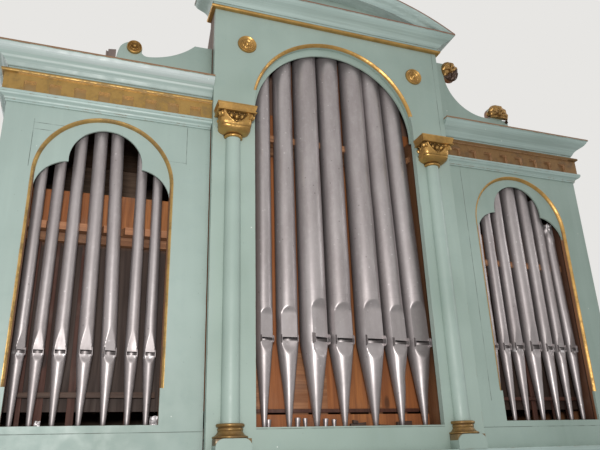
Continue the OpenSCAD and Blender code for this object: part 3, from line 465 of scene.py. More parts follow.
DRESS = {  # the CAD nodes in each material
    "case": "base_plinth lower_panel_left lower_panel_centre lower_panel_right pedestals tympanum scroll_left",
    "wall": "side_wall_left side_wall_right",
    "facade_left": "facade_left",
    "facade_centre": "facade_centre",
    "facade_right": "facade_right scroll_right",
    "shade_left": "pipe_shade_left",
    "shade_right": "pipe_shade_right",
    "shaft": "column_shaft_left column_shaft_right",
    "mould": "impost_moulding architrave_left architrave_right",
    "mould_side": "side_cornice_right",
    "mould_side_left_lit": "side_cornice_left",
    "mould_tower": "tower_cornice",
    "mould_curve": "pediment_cornice",
    "gilt": "capital_left capital_right rosettes",
    "gilt_band": "dentil_band_left",
    "gilt_band_dull": "dentil_band_right",
    "gilt_base": "column_bases",
    "gilt_ring": "arch_moulding_centre tower_bead",
    "gilt_leg_left": "arch_moulding_left",
    "gilt_leg_right": "arch_moulding_right",
    "wood_inside": "backing_boards",
    "wood_cross": "rack_boards",
    "wood_rough": "tower_cheeks tower_back",
    "wood_roof": "roof_sides roof_centre back_wall",
    "wood_dark": "windchest",
    "metal": "pipes_left pipes_centre pipes_right",
}
for finish, names in DRESS.items():
    for name in names.split():
        slots = NODES[name].data.materials
        slots.clear()
        slots.append(mats[finish])


# ---------------- piece helpers
def link_piece(name, mesh, material, sharp):
    piece = bpy.data.objects.new(name, mesh)
    scene.collection.objects.link(piece)
    mesh.materials.append(material)
    smooth(piece, sharp)
    return piece


def new_piece(name, verts, faces, material, sharp=35.0):
    mesh = bpy.data.meshes.new(name)
    mesh.from_pydata([tuple(v) for v in verts], [], faces)
    mesh.update()
    return link_piece(name, mesh, material, sharp)


def smooth(piece, sharp):
    """Smooth shading, with edges sharper than an angle kept."""
    mesh = piece.data
    mesh.polygons.foreach_set("use_smooth", [True] * len(mesh.polygons))
    mesh.set_sharp_from_angle(angle=math.radians(sharp))


def apply_modifiers(piece):
    depsgraph = bpy.context.evaluated_depsgraph_get()
    mesh = bpy.data.meshes.new_from_object(piece.evaluated_get(depsgraph))
    piece.modifiers.clear()
    old = piece.data
    piece.data = mesh
    bpy.data.meshes.remove(old)


def set_marks(piece, marks):
    """The mark that the metal's and the gilding's materials read."""
    layer = piece.data.attributes.new("mark", "FLOAT", "POINT")
    layer.data.foreach_set("value", marks)


def thicken(piece, thickness):
    """Give a sheet its thickness in metres, inwards."""
    sheet = piece.modifiers.new("sheet", "SOLIDIFY")
    sheet.thickness = thickness
    sheet.offset = -1.0
    apply_modifiers(piece)


def break_edges(piece, width, sharp, angle=None):
    """Round a piece's edges a little, all of them or those sharper than an angle."""
    soft = piece.modifiers.new("edges", "BEVEL")
    soft.width = width
    soft.segments = 2
    soft.limit_method = "ANGLE" if angle else "NONE"
    if angle:
        soft.angle_limit = math.radians(angle)
    apply_modifiers(piece)
    smooth(piece, sharp)


def seat(piece, slot, *nodes):
    """Fix a piece to the case, in place of the CAD nodes named. The slot is not used."""
    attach(piece, "root")
    if nodes:
        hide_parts(*nodes)
    return piece


def sheet_faces(rows, columns, start=0, closed=False):
    """Faces between rows of points, which run round where they are closed."""
    faces = []
    for i in range(rows - 1):
        for k in range(columns if closed else columns - 1):
            b = (k + 1) % columns
            faces.append((start + i * columns + k, start + i * columns + b,
                          start + (i + 1) * columns + b, start + (i + 1) * columns + k))
    return faces


# ---------------- pipes
MOUTH_SIN = 0.73  # half a mouth's width as a share of the pipe's radius
PIPE_WALL = 1.6
EAR_WALL = 1.4
TOE_R = 8.0
MOUTH_STEPS = 9  # points round a pipe from its mouth's middle to the mouth's side
BACK_STEPS = 19
LANGUID_STEPS = 30
TORN = 170.0  # the length of a torn or crushed top
TEAR_ROWS = 8
PIPE_SHARP = 28.0


def front_angles(mouth):
    """Angles round a pipe, 0 at its mouth's middle, closer together across the mouth."""
    inner = [mouth * k / MOUTH_STEPS for k in range(-MOUTH_STEPS, MOUTH_STEPS + 1)]
    outer = [mouth + 3.0 + (357.0 - 2 * mouth - 3.0) * k / BACK_STEPS for k in range(BACK_STEPS + 1)]
    return [math.radians(a) for a in inner + outer]


def lip_reach(z, mouth, cut, lip, half, scoop, pointed):
    """How far the flattened lips reach from the mouth's middle at a height."""
    if z <= mouth:
        v = (mouth - z) / scoop
        return half * math.sqrt(max(0.0, 1.0 - v * v)) if v < 1 else 0.0
    t = (z - mouth - cut) / lip
    if t < 0:
        return half
    if pointed:
        return half * (1.0 - t ** 1.7) if t < 1 else 0.0
    u = (z - (mouth + cut + lip - half)) / half
    return half if u < 0 else half * math.sqrt(max(0.0, 1.0 - u * u))


def drift(shift, x, y, z):
    return noise.noise(Vector((x, y, z)) + shift)


def dented(push, dents, z, a, cone):
    """A push outwards at a point, less the dents near it."""
    for dz, da, depth, size in dents:
        arc = (a - math.pi * 2 if a > math.pi else a) - da
        far = ((z - dz) / (size * 1.6)) ** 2 + (arc * cone / size) ** 2
        if far < 6:
            push -= depth * math.exp(-far)
    return push


def tear(verts, rows, angles, d, shift):
    """Pull a pipe's top rows of points down, further in some places than in others."""
    for k, a in enumerate(angles):
        lift = drift(shift, math.sin(a) * 2.2, math.cos(a) * 2.2, 0.0) * 0.7
        for step in range(1, TEAR_ROWS + 1):
            i = (rows - step) * len(angles) + k
            x, y, z = verts[i]
            verts[i] = (x, y, z - max(0.0, 0.35 + lift) * d * 0.9 * (TEAR_ROWS + 1 - step) / TEAR_ROWS)


def add_languid_and_ears(mesh, put, d, mouth, cut, rng):
    """Close the foot under the mouth with a languid, and put an ear at each side of the mouth."""
    r = d / 2
    half = r * MOUTH_SIN
    flat = math.sqrt(r * r - half * half)
    bm = bmesh.new()
    bm.from_mesh(mesh)
    turns = [math.pi * 2 * k / LANGUID_STEPS for k in range(LANGUID_STEPS)]
    rim = [((r - 1.0) * math.sin(a), max(-(r - 1.0) * math.cos(a), PIPE_WALL - flat)) for a in turns]
    lower, upper = ([bm.verts.new(put(x, y, z)) for x, y in rim] for z in (mouth - PIPE_WALL, mouth))
    bm.faces.new(lower[::-1])
    bm.faces.new(upper)
    for k in range(LANGUID_STEPS):
        b = (k + 1) % LANGUID_STEPS
        bm.faces.new((lower[k], lower[b], upper[b], upper[k]))
    ear = 0.15 * d
    outline = [(flat - 2.0, mouth - 0.6 * cut), (flat + ear * 0.8, mouth - 0.45 * cut),
               (flat + ear, mouth - 0.15 * cut), (flat + ear, mouth + 1.3 * cut),
               (flat + ear * 0.8, mouth + 1.6 * cut), (flat - 2.0, mouth + 1.8 * cut)]
    for side in (-1, 1):
        bend = rng.uniform(-0.12, 0.12)
        a, b = ([bm.verts.new(put(side * half + side * (wall + bend * (out - flat)), -out, z)) for out, z in outline]
                for wall in (0.0, EAR_WALL))
        if side < 0:
            a, b = b, a
        bm.faces.new(a)
        bm.faces.new(b[::-1])
        for k in range(len(outline)):
            m = (k + 1) % len(outline)
            bm.faces.new((a[m], a[k], b[k], b[m]))
    bmesh.ops.recalc_face_normals(bm, faces=bm.faces[:])
    bm.to_mesh(mesh)
    bm.free()


def flue_pipe(name, d, mouth, top, base, turn, pointed, rng, node, tops="plain", taper=0.0, lean=0.0, tall=1.0):
    """One metal pipe of sheet with a cone foot, flattened lips, pointed or round, an open mouth with ears, a languid
    and an open top, plain, torn or crushed. It thins by taper, leans by lean, and its upper lip is tall times the
    usual height."""
    r = d / 2
    half = r * MOUTH_SIN
    cut = (0.29 if pointed else 0.16) * d
    lip = (1.75 if pointed else 1.38) * d * tall
    scoop = 0.52 * d
    torn = tops in ("crushed", "torn")
    angles = front_angles(math.degrees(math.asin(MOUTH_SIN)))
    heights = [0.0, 3.0, 8.0] + [mouth * k / 12 for k in range(1, 9)]
    heights += list(np.linspace(max(heights) + 8, mouth - 1.0, 14)) + [mouth]
    open_row = len(heights) - 1
    heights.append(mouth + cut)
    heights += list(np.linspace(mouth + cut + 3, mouth + cut + lip + 6, 26))
    seam_z = mouth + cut + lip + 0.32 * d
    heights += [seam_z - 1.6, seam_z, seam_z + 1.6]
    heights += list(np.linspace(heights[-1] + 18, top - (TORN if torn else 0), 14 if torn else 18))
    if torn:
        heights += list(np.linspace(top - TORN + 8, top, 24))
    shift = Vector([rng.uniform(0, 90) for _ in range(3)])
    dents = [(rng.uniform(0.06, 0.9) * top, rng.uniform(-1.5, 1.5), rng.uniform(0.012, 0.035) * d,
              rng.uniform(0.16, 0.4) * d) for _ in range(7)]
    verts, marks = [], []
    for z in heights:
        cone = TOE_R + (r - TOE_R) * min(1.0, z / mouth)
        if z <= 8.0:
            cone -= (8.0 - z) * 0.25
        w = lip_reach(z, mouth, cut, lip, half, scoop, pointed)
        limit = math.sqrt(max(0.0, cone * cone - min(w, cone * 0.98) ** 2))
        thin = 1.0 - taper * max(0.0, (z - mouth - cut) / (top - mouth)) ** 0.8
        side = lean * max(0.0, (z - mouth) / (top - mouth))
        for a in angles:
            x, y = cone * math.sin(a), -cone * math.cos(a)
            if w > 0 and y < -limit:
                y = -limit
            push = dented(0.0075 * d * drift(shift, x * 0.018, y * 0.018, z * 0.0045), dents, z, a, cone)
            mark = 0.0
            if abs(z - seam_z) < 1.0:
                mark = -0.35
            if pointed and mouth - 9.0 < z <= mouth and w > 0.6 * half:
                mark = 1.6 * max(0.0, drift(shift * 4, x * 0.11, 0.0, z * 0.05) + 0.05)
            if torn and z > top - TORN:
                near = (z - (top - TORN)) / TORN
                push += near ** 1.5 * drift(shift * 2, x * 0.05, y * 0.05, z * 0.028) * 0.30 * d
                if tops == "crushed":
                    push -= near ** 2 * 0.16 * d * (1 if math.cos(a) > 0 else 0.2)
                mark = 0.9 * max(0.0, drift(shift * 3, x * 0.09, y * 0.09, z * 0.045)) * near * 2.2
            if z == heights[-1] and not torn:
                push += 0.004 * d
            n = Vector((math.sin(a), -math.cos(a)))
            verts.append(((x + n.x * push) * thin + side, (y + n.y * push) * thin, z))
            marks.append(mark)
    if tops == "torn":
        tear(verts, len(heights), angles, d, shift)
    faces = sheet_faces(len(heights), len(angles), closed=True)
    mouth_face = open_row * len(angles)
    del faces[mouth_face:mouth_face + 2 * MOUTH_STEPS]
    spin = Matrix.Rotation(math.radians(turn), 4, "Z")
    origin = at(*base)

    def put(x, y, z):
        return origin + spin @ (Vector((x, y, z)) * MM)

    piece = new_piece(name, [put(*v) for v in verts], faces, mats["metal"], PIPE_SHARP)
    set_marks(piece, marks)
    thicken(piece, PIPE_WALL * MM)
    add_languid_and_ears(piece.data, put, d, mouth, cut, rng)
    smooth(piece, PIPE_SHARP)
    return seat(piece, "pipe_metal", node)


# Each pipe's diameter, gap after it, top and turn, from left to right or in the right bay from right to left. Then
# in the tower lip, lean, taper and shift, on the left taper and lean, and on the right lean and kind of top.
TOWER_PIPES = [
    (73, 19, 1800, 14, 1.16, 0, 0, 0), (89, 12, 1810, -3, 1.0, 0, 0, 0), (115, 9, 1830, 22, 0.98, 0, 0, 0),
    (106, 24, 1840, 2, 1.0, 0, 0, 0), (117, 12, 1830, 4, 1.02, -12, 0.05, 0), (98, 12, 1810, 7, 1.12, -36, 0.02, 0),
    (104, 0, 1800, 2, 1.2, -42, 0.09, -5)]
LEFT_PIPES = [
    (42, 18, 1060, 28, 0.02, 0), (44, 26, 1090, 8, 0.04, 4), (48, 35, 1190, 6, 0.08, -2),
    (54, 28, 1215, 8, 0.03, -16), (52, 32, 1190, 12, 0.08, -34), (44, 22, 1090, 2, 0.14, -6),
    (42, 0, 1060, 2, 0.18, -6)]
RIGHT_PIPES = [
    (50, 19, 975, 4, -14, "torn"), (50, 19, 1090, -3, 0, "plain"), (57, 22, 1190, 6, 0, "plain"),
    (72, 20, 1215, 2, 0, "plain"), (57, 17, 1190, -4, 0, "plain"), (50, 21, 1090, 5, 0, "plain"),
    (48, 0, 1000, 3, 0, "crushed")]
TOWER_LEFT = -366.0
BAY_X, BAY_LEFT = 985.0, -252.0  # a side bay's middle, and its first pipe's side from there
TOWER_MOUTH, LEFT_MOUTH, RIGHT_MOUTH = 330.0, 246.0, 318.0  # the mouths' heights above the toes
TOWER_TOE, BAY_TOE = (56, 0), (68, 15)  # the toes' depth and height


def row(left, pipes):
    """Each pipe's number, middle, diameter and further values, in a row that starts at left."""
    for i, (d, gap, *more) in enumerate(pipes, 1):
        yield i, left + d / 2, d, *more
        left += d + gap


rng = random.Random(21)
for i, x, d, top, turn, tall, lean, taper, shift in row(TOWER_LEFT, TOWER_PIPES):
    flue_pipe(f"tower_pipe_{i}", d, TOWER_MOUTH, top, (x + shift, *TOWER_TOE), turn, False, rng, "pipes_centre",
              taper=taper, lean=lean, tall=tall)
for i, x, d, top, turn, taper, lean in row(BAY_LEFT, LEFT_PIPES):
    wide = d / (1.0 - 0.6 * taper)
    flue_pipe(f"left_pipe_{i}", wide, LEFT_MOUTH, top, (-BAY_X + x + (wide - d) / 3, *BAY_TOE), turn, True, rng,
              "pipes_left", taper=taper, lean=lean)
for i, x, d, top, turn, lean, tops in row(BAY_LEFT, RIGHT_PIPES):
    flue_pipe(f"right_pipe_{i}", d, RIGHT_MOUTH, top, (BAY_X - x, *BAY_TOE), turn, True, rng, "pipes_right", tops,
              lean=lean)


# ---------------- carved and turned ornament
COLUMN_LEFT, COLUMN_RIGHT = -488.0, 472.0
CAPITAL_FOOT, NECK_FOOT, BASE_FOOT = 1152.0, 1139.0, -38.0
PEDESTAL_HALF, PEDESTAL_OUT = 65.0, 64.0
SCROLL_FACE = 6.0
EYE_X, EYE_Z = -913.0, 1564.0  # the left scroll's eye
ALL_LOST = -9.0  # a rosette with no leaf left
BOARD_SLOTS = {"wood_dark": "dark_wood", "gilt_block": "gilding"}
BOX_FACES = [(3, 2, 1, 0), (4, 5, 6, 7), (0, 1, 5, 4), (1, 2, 6, 5), (2, 3, 7, 6), (3, 0, 4, 7)]
PETAL_PROFILE = ([0, 0.14, 0.2, 0.26, 0.45, 0.75, 0.93, 1.0], [0.95, 0.85, 0.4, 0.45, 0.72, 0.62, 0.34, 0.0])
BOSS_PROFILE = ([0, 0.10, 0.2, 0.28, 0.33, 0.42, 0.50, 0.58, 0.64, 0.72, 0.80, 0.88, 0.94, 0.98, 1.0],
                [1.0, 0.97, 0.78, 0.42, 0.34, 0.50, 0.74, 0.60, 0.34, 0.30, 0.44, 0.62, 0.58, 0.36, 0.0])


def ease(value, low, high):
    t = np.clip((value - low) / (high - low), 0.0, 1.0)
    return t * t * (3.0 - 2.0 * t)


def lump(u, v, width, height):
    """A rounded knob's share of its height, 1 in the middle and 0 outside its ellipse."""
    return np.sqrt(np.maximum(0.0, 1.0 - (u / width) ** 2 - (v / height) ** 2))


def end_faces(rows, columns):
    return [tuple(range(columns))[::-1], tuple(range((rows - 1) * columns, rows * columns))]


def lathe(profile, steps):
    """Rings of points (x, y, z) round the Z axis from (radius, z) pairs, with the faces between them."""
    verts = [(r * math.cos(2 * math.pi * k / steps), r * math.sin(2 * math.pi * k / steps), z)
             for r, z in profile for k in range(steps)]
    return verts, sheet_faces(len(profile), steps, 0, True) + end_faces(len(profile), steps)


def add(verts, faces, more_verts, more_faces):
    start = len(verts)
    verts.extend(more_verts)
    faces.extend(tuple(i + start for i in face) for face in more_faces)


def capital_body(seed):
    """A bowl on a necking ring under a four-sided bell, whose faces sweep in round a hollow with eggs and beads."""
    z = np.concatenate([np.linspace(0, 14, 13), np.linspace(14.8, 37.4, 24), [38.2, 38.7, 40.1, 40.6],
                        np.linspace(41.6, 97.5, 52)])
    a = np.radians(np.linspace(-100, 100, 181))
    zz, aa = np.meshgrid(z, a, indexing="ij")
    ring = 33 + np.sqrt(np.maximum(0, 49 - (zz - 7) ** 2))
    bowl = np.interp(zz, [14, 16, 19, 23, 28, 33, 38], [34.5, 42, 50, 57.5, 63, 66, 66.5])
    bell = np.interp(zz, [40, 45, 52, 62, 76, 88, 97.5], [62.5, 66, 68.5, 69.5, 70, 71, 73.5])
    half = np.where(zz < 14.01, ring, np.where(zz < 38, bowl, bell))
    half = half - 6.0 * (np.abs(zz - 39.4) < 0.9)
    power = np.interp(zz, [0, 14.5, 20, 28, 36, 40, 60, 98], [2, 2, 2.5, 3.4, 4.4, 4.6, 5.2, 6.5])
    reach = half / (np.abs(np.sin(aa)) ** power + np.abs(np.cos(aa)) ** power) ** (1 / power)
    u = np.minimum(np.abs(reach * np.sin(aa)), np.abs(reach * np.cos(aa)))
    rim = 46.0 * (np.clip((zz - 49.0) / 42.0, 0, 1) ** 0.60)
    inside = ease(rim - u, -0.8, 1.6) * (zz > 49)
    reach = reach + 1.5 * np.exp(-((u - rim - 2.8) / 2.0) ** 2) * (zz > 52)
    reach = reach - 14.0 * inside
    knobs = [(0, 78, 10.5, 13, 15), (24.5, 80, 9.5, 11.5, 14), (12.5, 94, 4.8, 4.6, 9), (36, 92, 4.2, 4.5, 8),
             (12.3, 74, 2.4, 10, 8), (0, 58.5, 8, 4.8, 9), (36, 80, 2.4, 8, 6)]
    for ku, kz, width, height, out in knobs:
        reach = reach + out * lump(u - ku, zz - kz, width, height) * inside
    reach = reach + 6.0 * lump(u - 60.0, zz - 89.5, 5.5, 5.5)
    rows, columns = zz.shape
    rough = [[noise.noise(Vector((i * 0.21, k * 0.17, seed))) for k in range(columns)] for i in range(rows)]
    reach = reach + 0.4 * np.array(rough)
    x, y = reach * np.sin(aa), -reach * np.cos(aa)
    verts = list(zip(x.ravel().tolist(), y.ravel().tolist(), zz.ravel().tolist()))
    faces = sheet_faces(rows, columns) + end_faces(rows, columns)
    faces.append(tuple(i * columns for i in range(rows)))
    faces.append(tuple(i * columns + columns - 1 for i in range(rows))[::-1])
    return verts, faces


def against_tower(points, x, foot):
    """Points round a column's axis at x, with those behind the tower's face brought forward to it."""
    return [at(x + v[0], TOWER_FACE + min(0.0, v[1]), foot + v[2]) for v in points]


def on_ring(x, z, wide, high, turn):
    """A point on an ellipse round (x, z), at a turn in degrees."""
    return x + wide * math.cos(math.radians(turn)), z + high * math.sin(math.radians(turn))


def capital(name, x, node):
    """A carved capital under a moulded block, with rolls at its corners and a painted neck."""
    verts, faces = capital_body(x * 0.1)
    outline = [(66, 95.4), (75, 95.6)]
    outline += [on_ring(78.6, 98.6, 4.0, 3.2, turn) for turn in range(-85, 91, 17)]
    outline += [(77.4, 102.6), (78.2, 106), (79.6, 111), (81.4, 117), (82.8, 122), (83.2, 123.4), (84.0, 124),
                (84.2, 130), (83.2, 131), (60, 131)]
    corners = [(-1, 0.0), (-1, -1), (1, -1), (1, 0.0)]
    block = [(w * cx, w * cy if cy else 0.0, z) for w, z in outline for cx, cy in corners]
    add(verts, faces, block, sheet_faces(len(outline), 4, 0, True) + end_faces(len(outline), 4))
    end = [(2.7, -12), (4.5, -11.7), (5.2, -10.2), (6.4, -10), (6.8, -10.9), (11.6, -10.6), (13.2, -8.8), (13.4, -7),
           (12, -4)]
    points, more = lathe(end + [(11.2, 0)] + [(r, -z) for r, z in end[::-1]], 36)
    for turn in (-45, 45):
        spin = Matrix.Rotation(math.radians(turn), 4, "Z")
        placed = [spin @ Vector((v[2], -88.0 - v[0], 83.0 + v[1])) for v in points]
        add(verts, faces, [tuple(v) for v in placed], more)
    piece = new_piece(name, against_tower(verts, x, CAPITAL_FOOT), faces, mats["gilt"], 40.0)
    bm = bmesh.new()
    bm.from_mesh(piece.data)
    bmesh.ops.recalc_face_normals(bm, faces=bm.faces[:])
    bm.to_mesh(piece.data)
    bm.free()
    smooth(piece, 40.0)
    points, more = lathe([(31.0, NECK_FOOT), (31.0, NECK_FOOT + 7.0), (31.4, CAPITAL_FOOT + 0.5)], 48)
    seat(new_piece(name + "_neck", against_tower(points, x, 0.0), more, mats["shaft"], 40.0), "paint")
    return seat(piece, "gilding", node)


def rosette(verts, marks, faces, centre, r, rise, petals, flat_below=-math.inf, lost=0.0, tall=1.0, worn=0.0):
    """A turned boss with rings, or with petals, that faces -Y. From lost on, its leaf is gone at its lower right."""
    radii = np.concatenate([[0.0], np.linspace(0.04, 0.94, 34), [0.97, 0.99, 1.0]])
    spots = 96
    start = len(verts)
    for t in radii:
        for k in range(spots):
            a = 2 * math.pi * k / spots
            if petals:
                bowl = np.interp(t, *PETAL_PROFILE)
                leaf = abs(math.sin(a * petals / 2))
                high = bowl * (1 - 0.45 * (1 - leaf) ** 2 * min(1.0, max(0.0, (t - 0.24) / 0.12)))
                high += 0.16 * math.exp(-((t - 0.82) / 0.06) ** 2) * (math.cos(a * petals) < -0.4)
            else:
                high = np.interp(t, *BOSS_PROFILE)
                high += 0.07 * math.exp(-((t - 0.5) / 0.07) ** 2) * math.sin(a * 11 + t * 9)
            x, z = r * t * math.sin(a), max(flat_below, tall * r * t * math.cos(a))
            wear = noise.noise(Vector((x * 0.07, z * 0.07, centre[0] * 0.01)))
            verts.append((centre[0] + x, centre[1] - rise * high - 0.6 * wear, centre[2] + z))
            marks.append(1.0 if lost and (x * 0.7 - z) / r + 0.3 * wear > lost else worn)
    faces.extend(sheet_faces(len(radii), spots, start, True))
    ring, back = len(verts) - spots, len(verts)
    for k in range(spots):
        x, _, z = verts[ring + k]
        verts.append((x, centre[1] + 1.0, z))
        marks.append(0.0)
    faces.extend(sheet_faces(2, spots, ring, True))
    faces.append(tuple(range(back, back + spots)))


def marked_piece(name, verts, marks, faces, material, sharp):
    """A piece with marks, its doubled points joined and its faces turned outwards."""
    bm = bmesh.new()
    layer = bm.verts.layers.float.new("mark")
    made = [bm.verts.new(v) for v in verts]
    for vert, mark in zip(made, marks):
        vert[layer] = mark
    for face in faces:
        bm.faces.new([made[i] for i in face])
    bmesh.ops.remove_doubles(bm, verts=bm.verts[:], dist=1e-6)
    bmesh.ops.recalc_face_normals(bm, faces=bm.faces[:])
    mesh = bpy.data.meshes.new(name)
    bm.to_mesh(mesh)
    bm.free()
    return link_piece(name, mesh, material, sharp)


def column_base(name, x):
    """A turned base, with a gilded block behind the pedestal's round shoulders."""
    lip = [(60, 0), (63, 1.2), (64.6, 4), (64.4, 6.6), (63, 8.2), (60.5, 8.8)]
    flare = [(56.5, 10.2), (52.8, 13), (49.6, 16.6), (47, 20.6), (45.2, 24.4)]
    ring = [(44.6, 25.4), (46.2, 28), (46.8, 31), (46.2, 34), (44.4, 36.4)]
    top = [(44.2, 37.4), (48.6, 38.6), (51.4, 41.8), (52.2, 45.2), (51.2, 48.4), (48.2, 50.8), (43, 51), (33, 51)]
    points, faces = lathe(lip + flare + ring + top, 64)
    piece = new_piece(name, against_tower(points, x, BASE_FOOT), faces, mats["gilt_base"], 38.0)
    seat(piece, "gilding", "column_bases")
    block = (x - PEDESTAL_HALF + 1, x + PEDESTAL_HALF - 1, TOWER_FACE - PEDESTAL_OUT + 5, TOWER_FACE - 0.5,
             BASE_FOOT - 34.0, BASE_FOOT - 0.4)
    boards_piece(name + "_block", [block], "gilt_block")


def all_rosettes():
    """Three bosses, and two petalled ones with a bud and a drop on the right scroll."""
    verts, marks, faces = [], [], []
    for x, y, z, r, rise, petals, more in (
            (-427, TOWER_FACE, 1650, 44, 15, 0, {}),
            (427, TOWER_FACE, 1650, 44, 15, 0, {}),
            (EYE_X, SCROLL_FACE, EYE_Z, 32, 20, 0, {}),
            (690, SCROLL_FACE, 1774, 50, 26, 8, {"lost": 0.25, "tall": 1.18, "worn": 0.42}),
            (958, SCROLL_FACE, 1556, 61, 26, 10, {"flat_below": -24, "worn": 0.42}),
            (901, SCROLL_FACE, 1551, 17, 16, 0, {"lost": 0.5, "worn": 0.42}),
            (1003, SCROLL_FACE, 1520, 9, 9, 0, {"lost": ALL_LOST})):
        rosette(verts, marks, faces, (x, y, z), r, rise, petals, **more)
    world = [at(*v) for v in verts]
    return seat(marked_piece("rosettes_turned", world, marks, faces, mats["gilt"], 40.0), "gilding", "rosettes")


def left_scroll():
    """The left scroll board: a hollow sweep from the lost upper part down to a small eye with a worn shoulder."""
    outline = [(-575.5, 1440), (-575.5, 1632)]
    for k in range(49):
        x = -653.5 - 199.5 * k / 48
        outline.append((x, 1852.0 - math.sqrt(324.0 ** 2 - (x + 890.0) ** 2)))
    outline += [(-862, 1530.5), (-872, 1534), (-879, 1541)]
    outline += [on_ring(EYE_X, EYE_Z, 33.5, 33.5, turn) for turn in range(-24, 125, 8)]
    outline += [(-943, 1588), (-954, 1581), (-963, 1573), (-969.5, 1564), (-974, 1553), (-978, 1538),
                (-982, 1518), (-985, 1496), (-986, 1440)]
    count = len(outline)
    verts = [at(x, y, z) for y in (SCROLL_FACE, SCROLL_FACE + 30.0) for x, z in outline]
    faces = [tuple(range(count)), tuple(range(2 * count - 1, count - 1, -1))]
    faces += [(k + count, (k + 1) % count + count, (k + 1) % count, k) for k in range(count)]
    piece = new_piece("scroll_left_board", verts, faces, mats["case"], 30.0)
    break_edges(piece, 0.0015, 30.0, 40.0)
    return seat(piece, "paint", "scroll_left")


def boards_piece(name, parts, material):
    """Boards from (x0, x1, y0, y1, z0, z1[, skew]), with their edges slightly broken and their tops rising by skew
    towards x1."""
    verts, faces = [], []
    for x0, x1, y0, y1, z0, z1, *skew in parts:
        high = z1 + sum(skew)
        add(verts, faces, [(x0, y0, z0), (x1, y0, z0), (x1, y1, z0), (x0, y1, z0),
                           (x0, y0, z1), (x1, y0, high), (x1, y1, high), (x0, y1, z1)], BOX_FACES)
    piece = new_piece(name, [at(*v) for v in verts], faces, mats[material])
    break_edges(piece, 0.0012, 35.0)
    return seat(piece, BOARD_SLOTS.get(material, "bare_wood"))


def small_foot(verts, faces, x, y, z, r, high, lean):
    """A small pipe's foot, open at its top."""
    profile = [(0.62, 0), (0.66, 0.12), (0.8, 0.5), (1, 0.94), (0.97, 1), (0.8, 1), (0.74, 0.9)]
    points, more = lathe([(r * wide, high * tall) for wide, tall in profile], 20)
    add(verts, faces, [(x + v[0] + lean * v[2], y + v[1], z + v[2]) for v in points], more)


def tower_clutter():
    """The battens and the loose things in the tower's opening."""
    slats = [(-284, -270, 118, 128, 1262, 1600), (-173, -156, 118, 128, 1262, 1705), (80, 99, 118, 128, 1262, 1760)]
    boards_piece("tower_slats", slats, "wood_inside")
    wedges = [(44, 112, 88, 104, 0.0, 16, 5), (52, 74, 80, 96, 16, 30, -4), (262, 330, 100, 116, 0.0, 22, 3),
              (-58, -22, 94, 108, 0.0, 9, 2), (176, 226, 96, 112, 0.0, 12, -3)]
    boards_piece("tower_wedges", wedges, "wood_dark")
    verts, faces = [], []
    for x, r, high, lean in ((-302, 11.5, 34, 0.0), (-184, 12.5, 40, 0.04), (-150, 10.0, 38, -0.05),
                             (-66, 12.0, 36, 0.06), (-28, 10.5, 33, 0.0)):
        small_foot(verts, faces, x, 92, 0.0, r, high, lean)
    seat(new_piece("tower_small_feet", [at(*v) for v in verts], faces, mats["metal"], 40.0), "pipe_metal")
    boards_piece("tower_strip", [(-386, 386, 129, 136.5, 62, 76, 1)], "wood_red")
    boards_piece("tower_lining", [(426, 431, -28, 128, 1, 1335)], "wood_cheek")
    patches = [(x0, x1, y, 141.5, 54, top) for x0, x1, y, top in (
        (-352, -300, 137, 262), (-196, -120, 136, 300), (-88, -34, 137, 215), (20, 66, 137, 286),
        (150, 214, 136, 318), (300, 332, 137, 340))]
    boards_piece("tower_patches", patches, "wood_cross")


def crumpled(name, centre, size, seed):
    """A scrap of pipe metal, bent and folded, that lies on the toe boards."""
    n = 14
    verts = []
    for i in range(n):
        for k in range(n):
            u, v = i / (n - 1) - 0.5, k / (n - 1) - 0.5
            fold = noise.noise(Vector((u * 3.1, v * 3.1, seed))) * 0.55
            bend = noise.noise(Vector((u * 2.0, v * 2.0, seed + 5))) * 0.5
            verts.append((centre[0] + size * (u + 0.3 * fold), centre[1] + size * 0.8 * bend,
                          centre[2] + size * (v * 1.1 + 0.35 * fold)))
    low = min(v[2] for v in verts)
    world = [at(x, y, z - low + BAY_TOE[1] + 0.4) for x, y, z in verts]
    piece = new_piece(name, world, sheet_faces(n, n), mats["metal"], PIPE_SHARP)
    set_marks(piece, [0.6] * len(verts))
    thicken(piece, 0.0012)
    smooth(piece, PIPE_SHARP)
    return seat(piece, "pipe_metal")


def bay_slats(*slats):
    return [(x0, x1, y, 138, 0, top) for x0, x1, y, top in slats]


def bay_clutter():
    """The slats, rails and scraps in the side bays' openings, and the block beside the left scroll."""
    left = bay_slats((-1206, -1190, 128, 700), (-1148, -1120, 130, 700), (-1040, -1014, 128, 690),
                     (-842, -818, 126, 700), (-768, -752, 128, 700))
    right = bay_slats((770, 800, 128, 700), (870, 892, 128, 690), (985, 1010, 130, 700), (1100, 1122, 128, 700),
                      (1180, 1210, 126, 700))
    right.append((740, 1230, 108, 126, 108, 122, 3))
    boards_piece("right_lining", [(1246, 1256, 42, 124, 2, 1010)], "wood_lining")
    boards_piece("bay_slats_left", left, "wood_red")
    boards_piece("bay_slats_right", right, "wood_red")
    boards_piece("left_rail_low", [(-1236, -736, 112, 128, 116, 134, 4)], "wood_dark")
    crumpled("left_scrap", (-740, 62, 24), 30.0, 3.3)
    crumpled("left_scrap_small", (-1128, 84, 20), 18.0, 8.1)
    blocks = [(-1018, -986.5, 4, 34, 1441, 1534, 5), (-1027, -1018, 8, 30, 1441, 1528, -3)]
    boards_piece("left_scroll_block", blocks, "wood_grey")


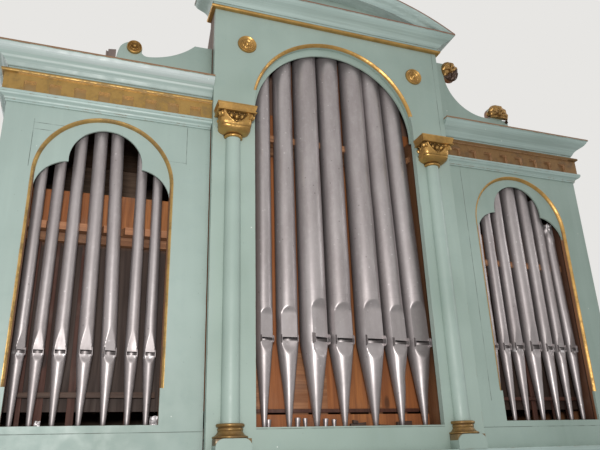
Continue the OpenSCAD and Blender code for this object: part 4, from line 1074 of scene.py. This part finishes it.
tower_clutter()
bay_clutter()
column_base("column_base_left", COLUMN_LEFT)
column_base("column_base_right", COLUMN_RIGHT)
capital("capital_carved_left", COLUMN_LEFT, "capital_left")
capital("capital_carved_right", COLUMN_RIGHT, "capital_right")
all_rosettes()
left_scroll()


# ---------------- lamps, world and floor
def make_world():
    """Light from all round, and a pale background that camera, glossy and transmission rays see."""
    world = bpy.data.worlds.new("world")
    scene.world = world
    world.use_nodes = True
    tree = world.node_tree
    tree.nodes.clear()
    rays = tree.nodes.new("ShaderNodeLightPath").outputs
    seen = rays["Is Camera Ray"]
    for kind in ("Is Glossy Ray", "Is Transmission Ray"):
        either = tree.nodes.new("ShaderNodeMath")
        either.operation = "MAXIMUM"
        tree.links.new(seen, either.inputs[0])
        tree.links.new(rays[kind], either.inputs[1])
        seen = either.outputs[0]
    blend = tree.nodes.new("ShaderNodeMixShader")
    tree.links.new(seen, blend.inputs[0])
    for spot, colour, strength in ((1, (0.94, 0.97, 1.0, 1.0), 0.44), (2, (0.80, 0.79, 0.77, 1.0), 1.0)):
        light = tree.nodes.new("ShaderNodeBackground")
        light.inputs[0].default_value = colour
        light.inputs[1].default_value = strength
        tree.links.new(light.outputs[0], blend.inputs[spot])
    out = tree.nodes.new("ShaderNodeOutputWorld")
    tree.links.new(blend.outputs[0], out.inputs[0])


def make_floor():
    s = Shader("floor_pale")
    s.colour = s.mix(s.span(s.noise(0.8, 3.0), 0.3, 0.7), (0.70, 0.69, 0.67), (0.75, 0.74, 0.72))
    s.finish(0.8)
    side = 30.0
    floor = new_piece("floor", [(-side, -side, 0), (side, -side, 0), (side, side, 0), (-side, side, 0)],
                      [(0, 1, 2, 3)], s.material)


make_camera()
make_world()
make_floor()
area_lamp("key", (-1.10, -3.15, 1.85), (0.15, -0.5, 3.25), 0.32, 64.0, (1.0, 0.985, 0.96))
area_lamp("side", (6.5, -1.5, 4.5), (0.0, 0.0, 2.2), 3.0, 60.0)
area_lamp("back", (-3.5, 6.0, 5.0), (0.0, 0.0, 2.2), 3.5, 120.0)

scene.view_settings.view_transform = "Standard"
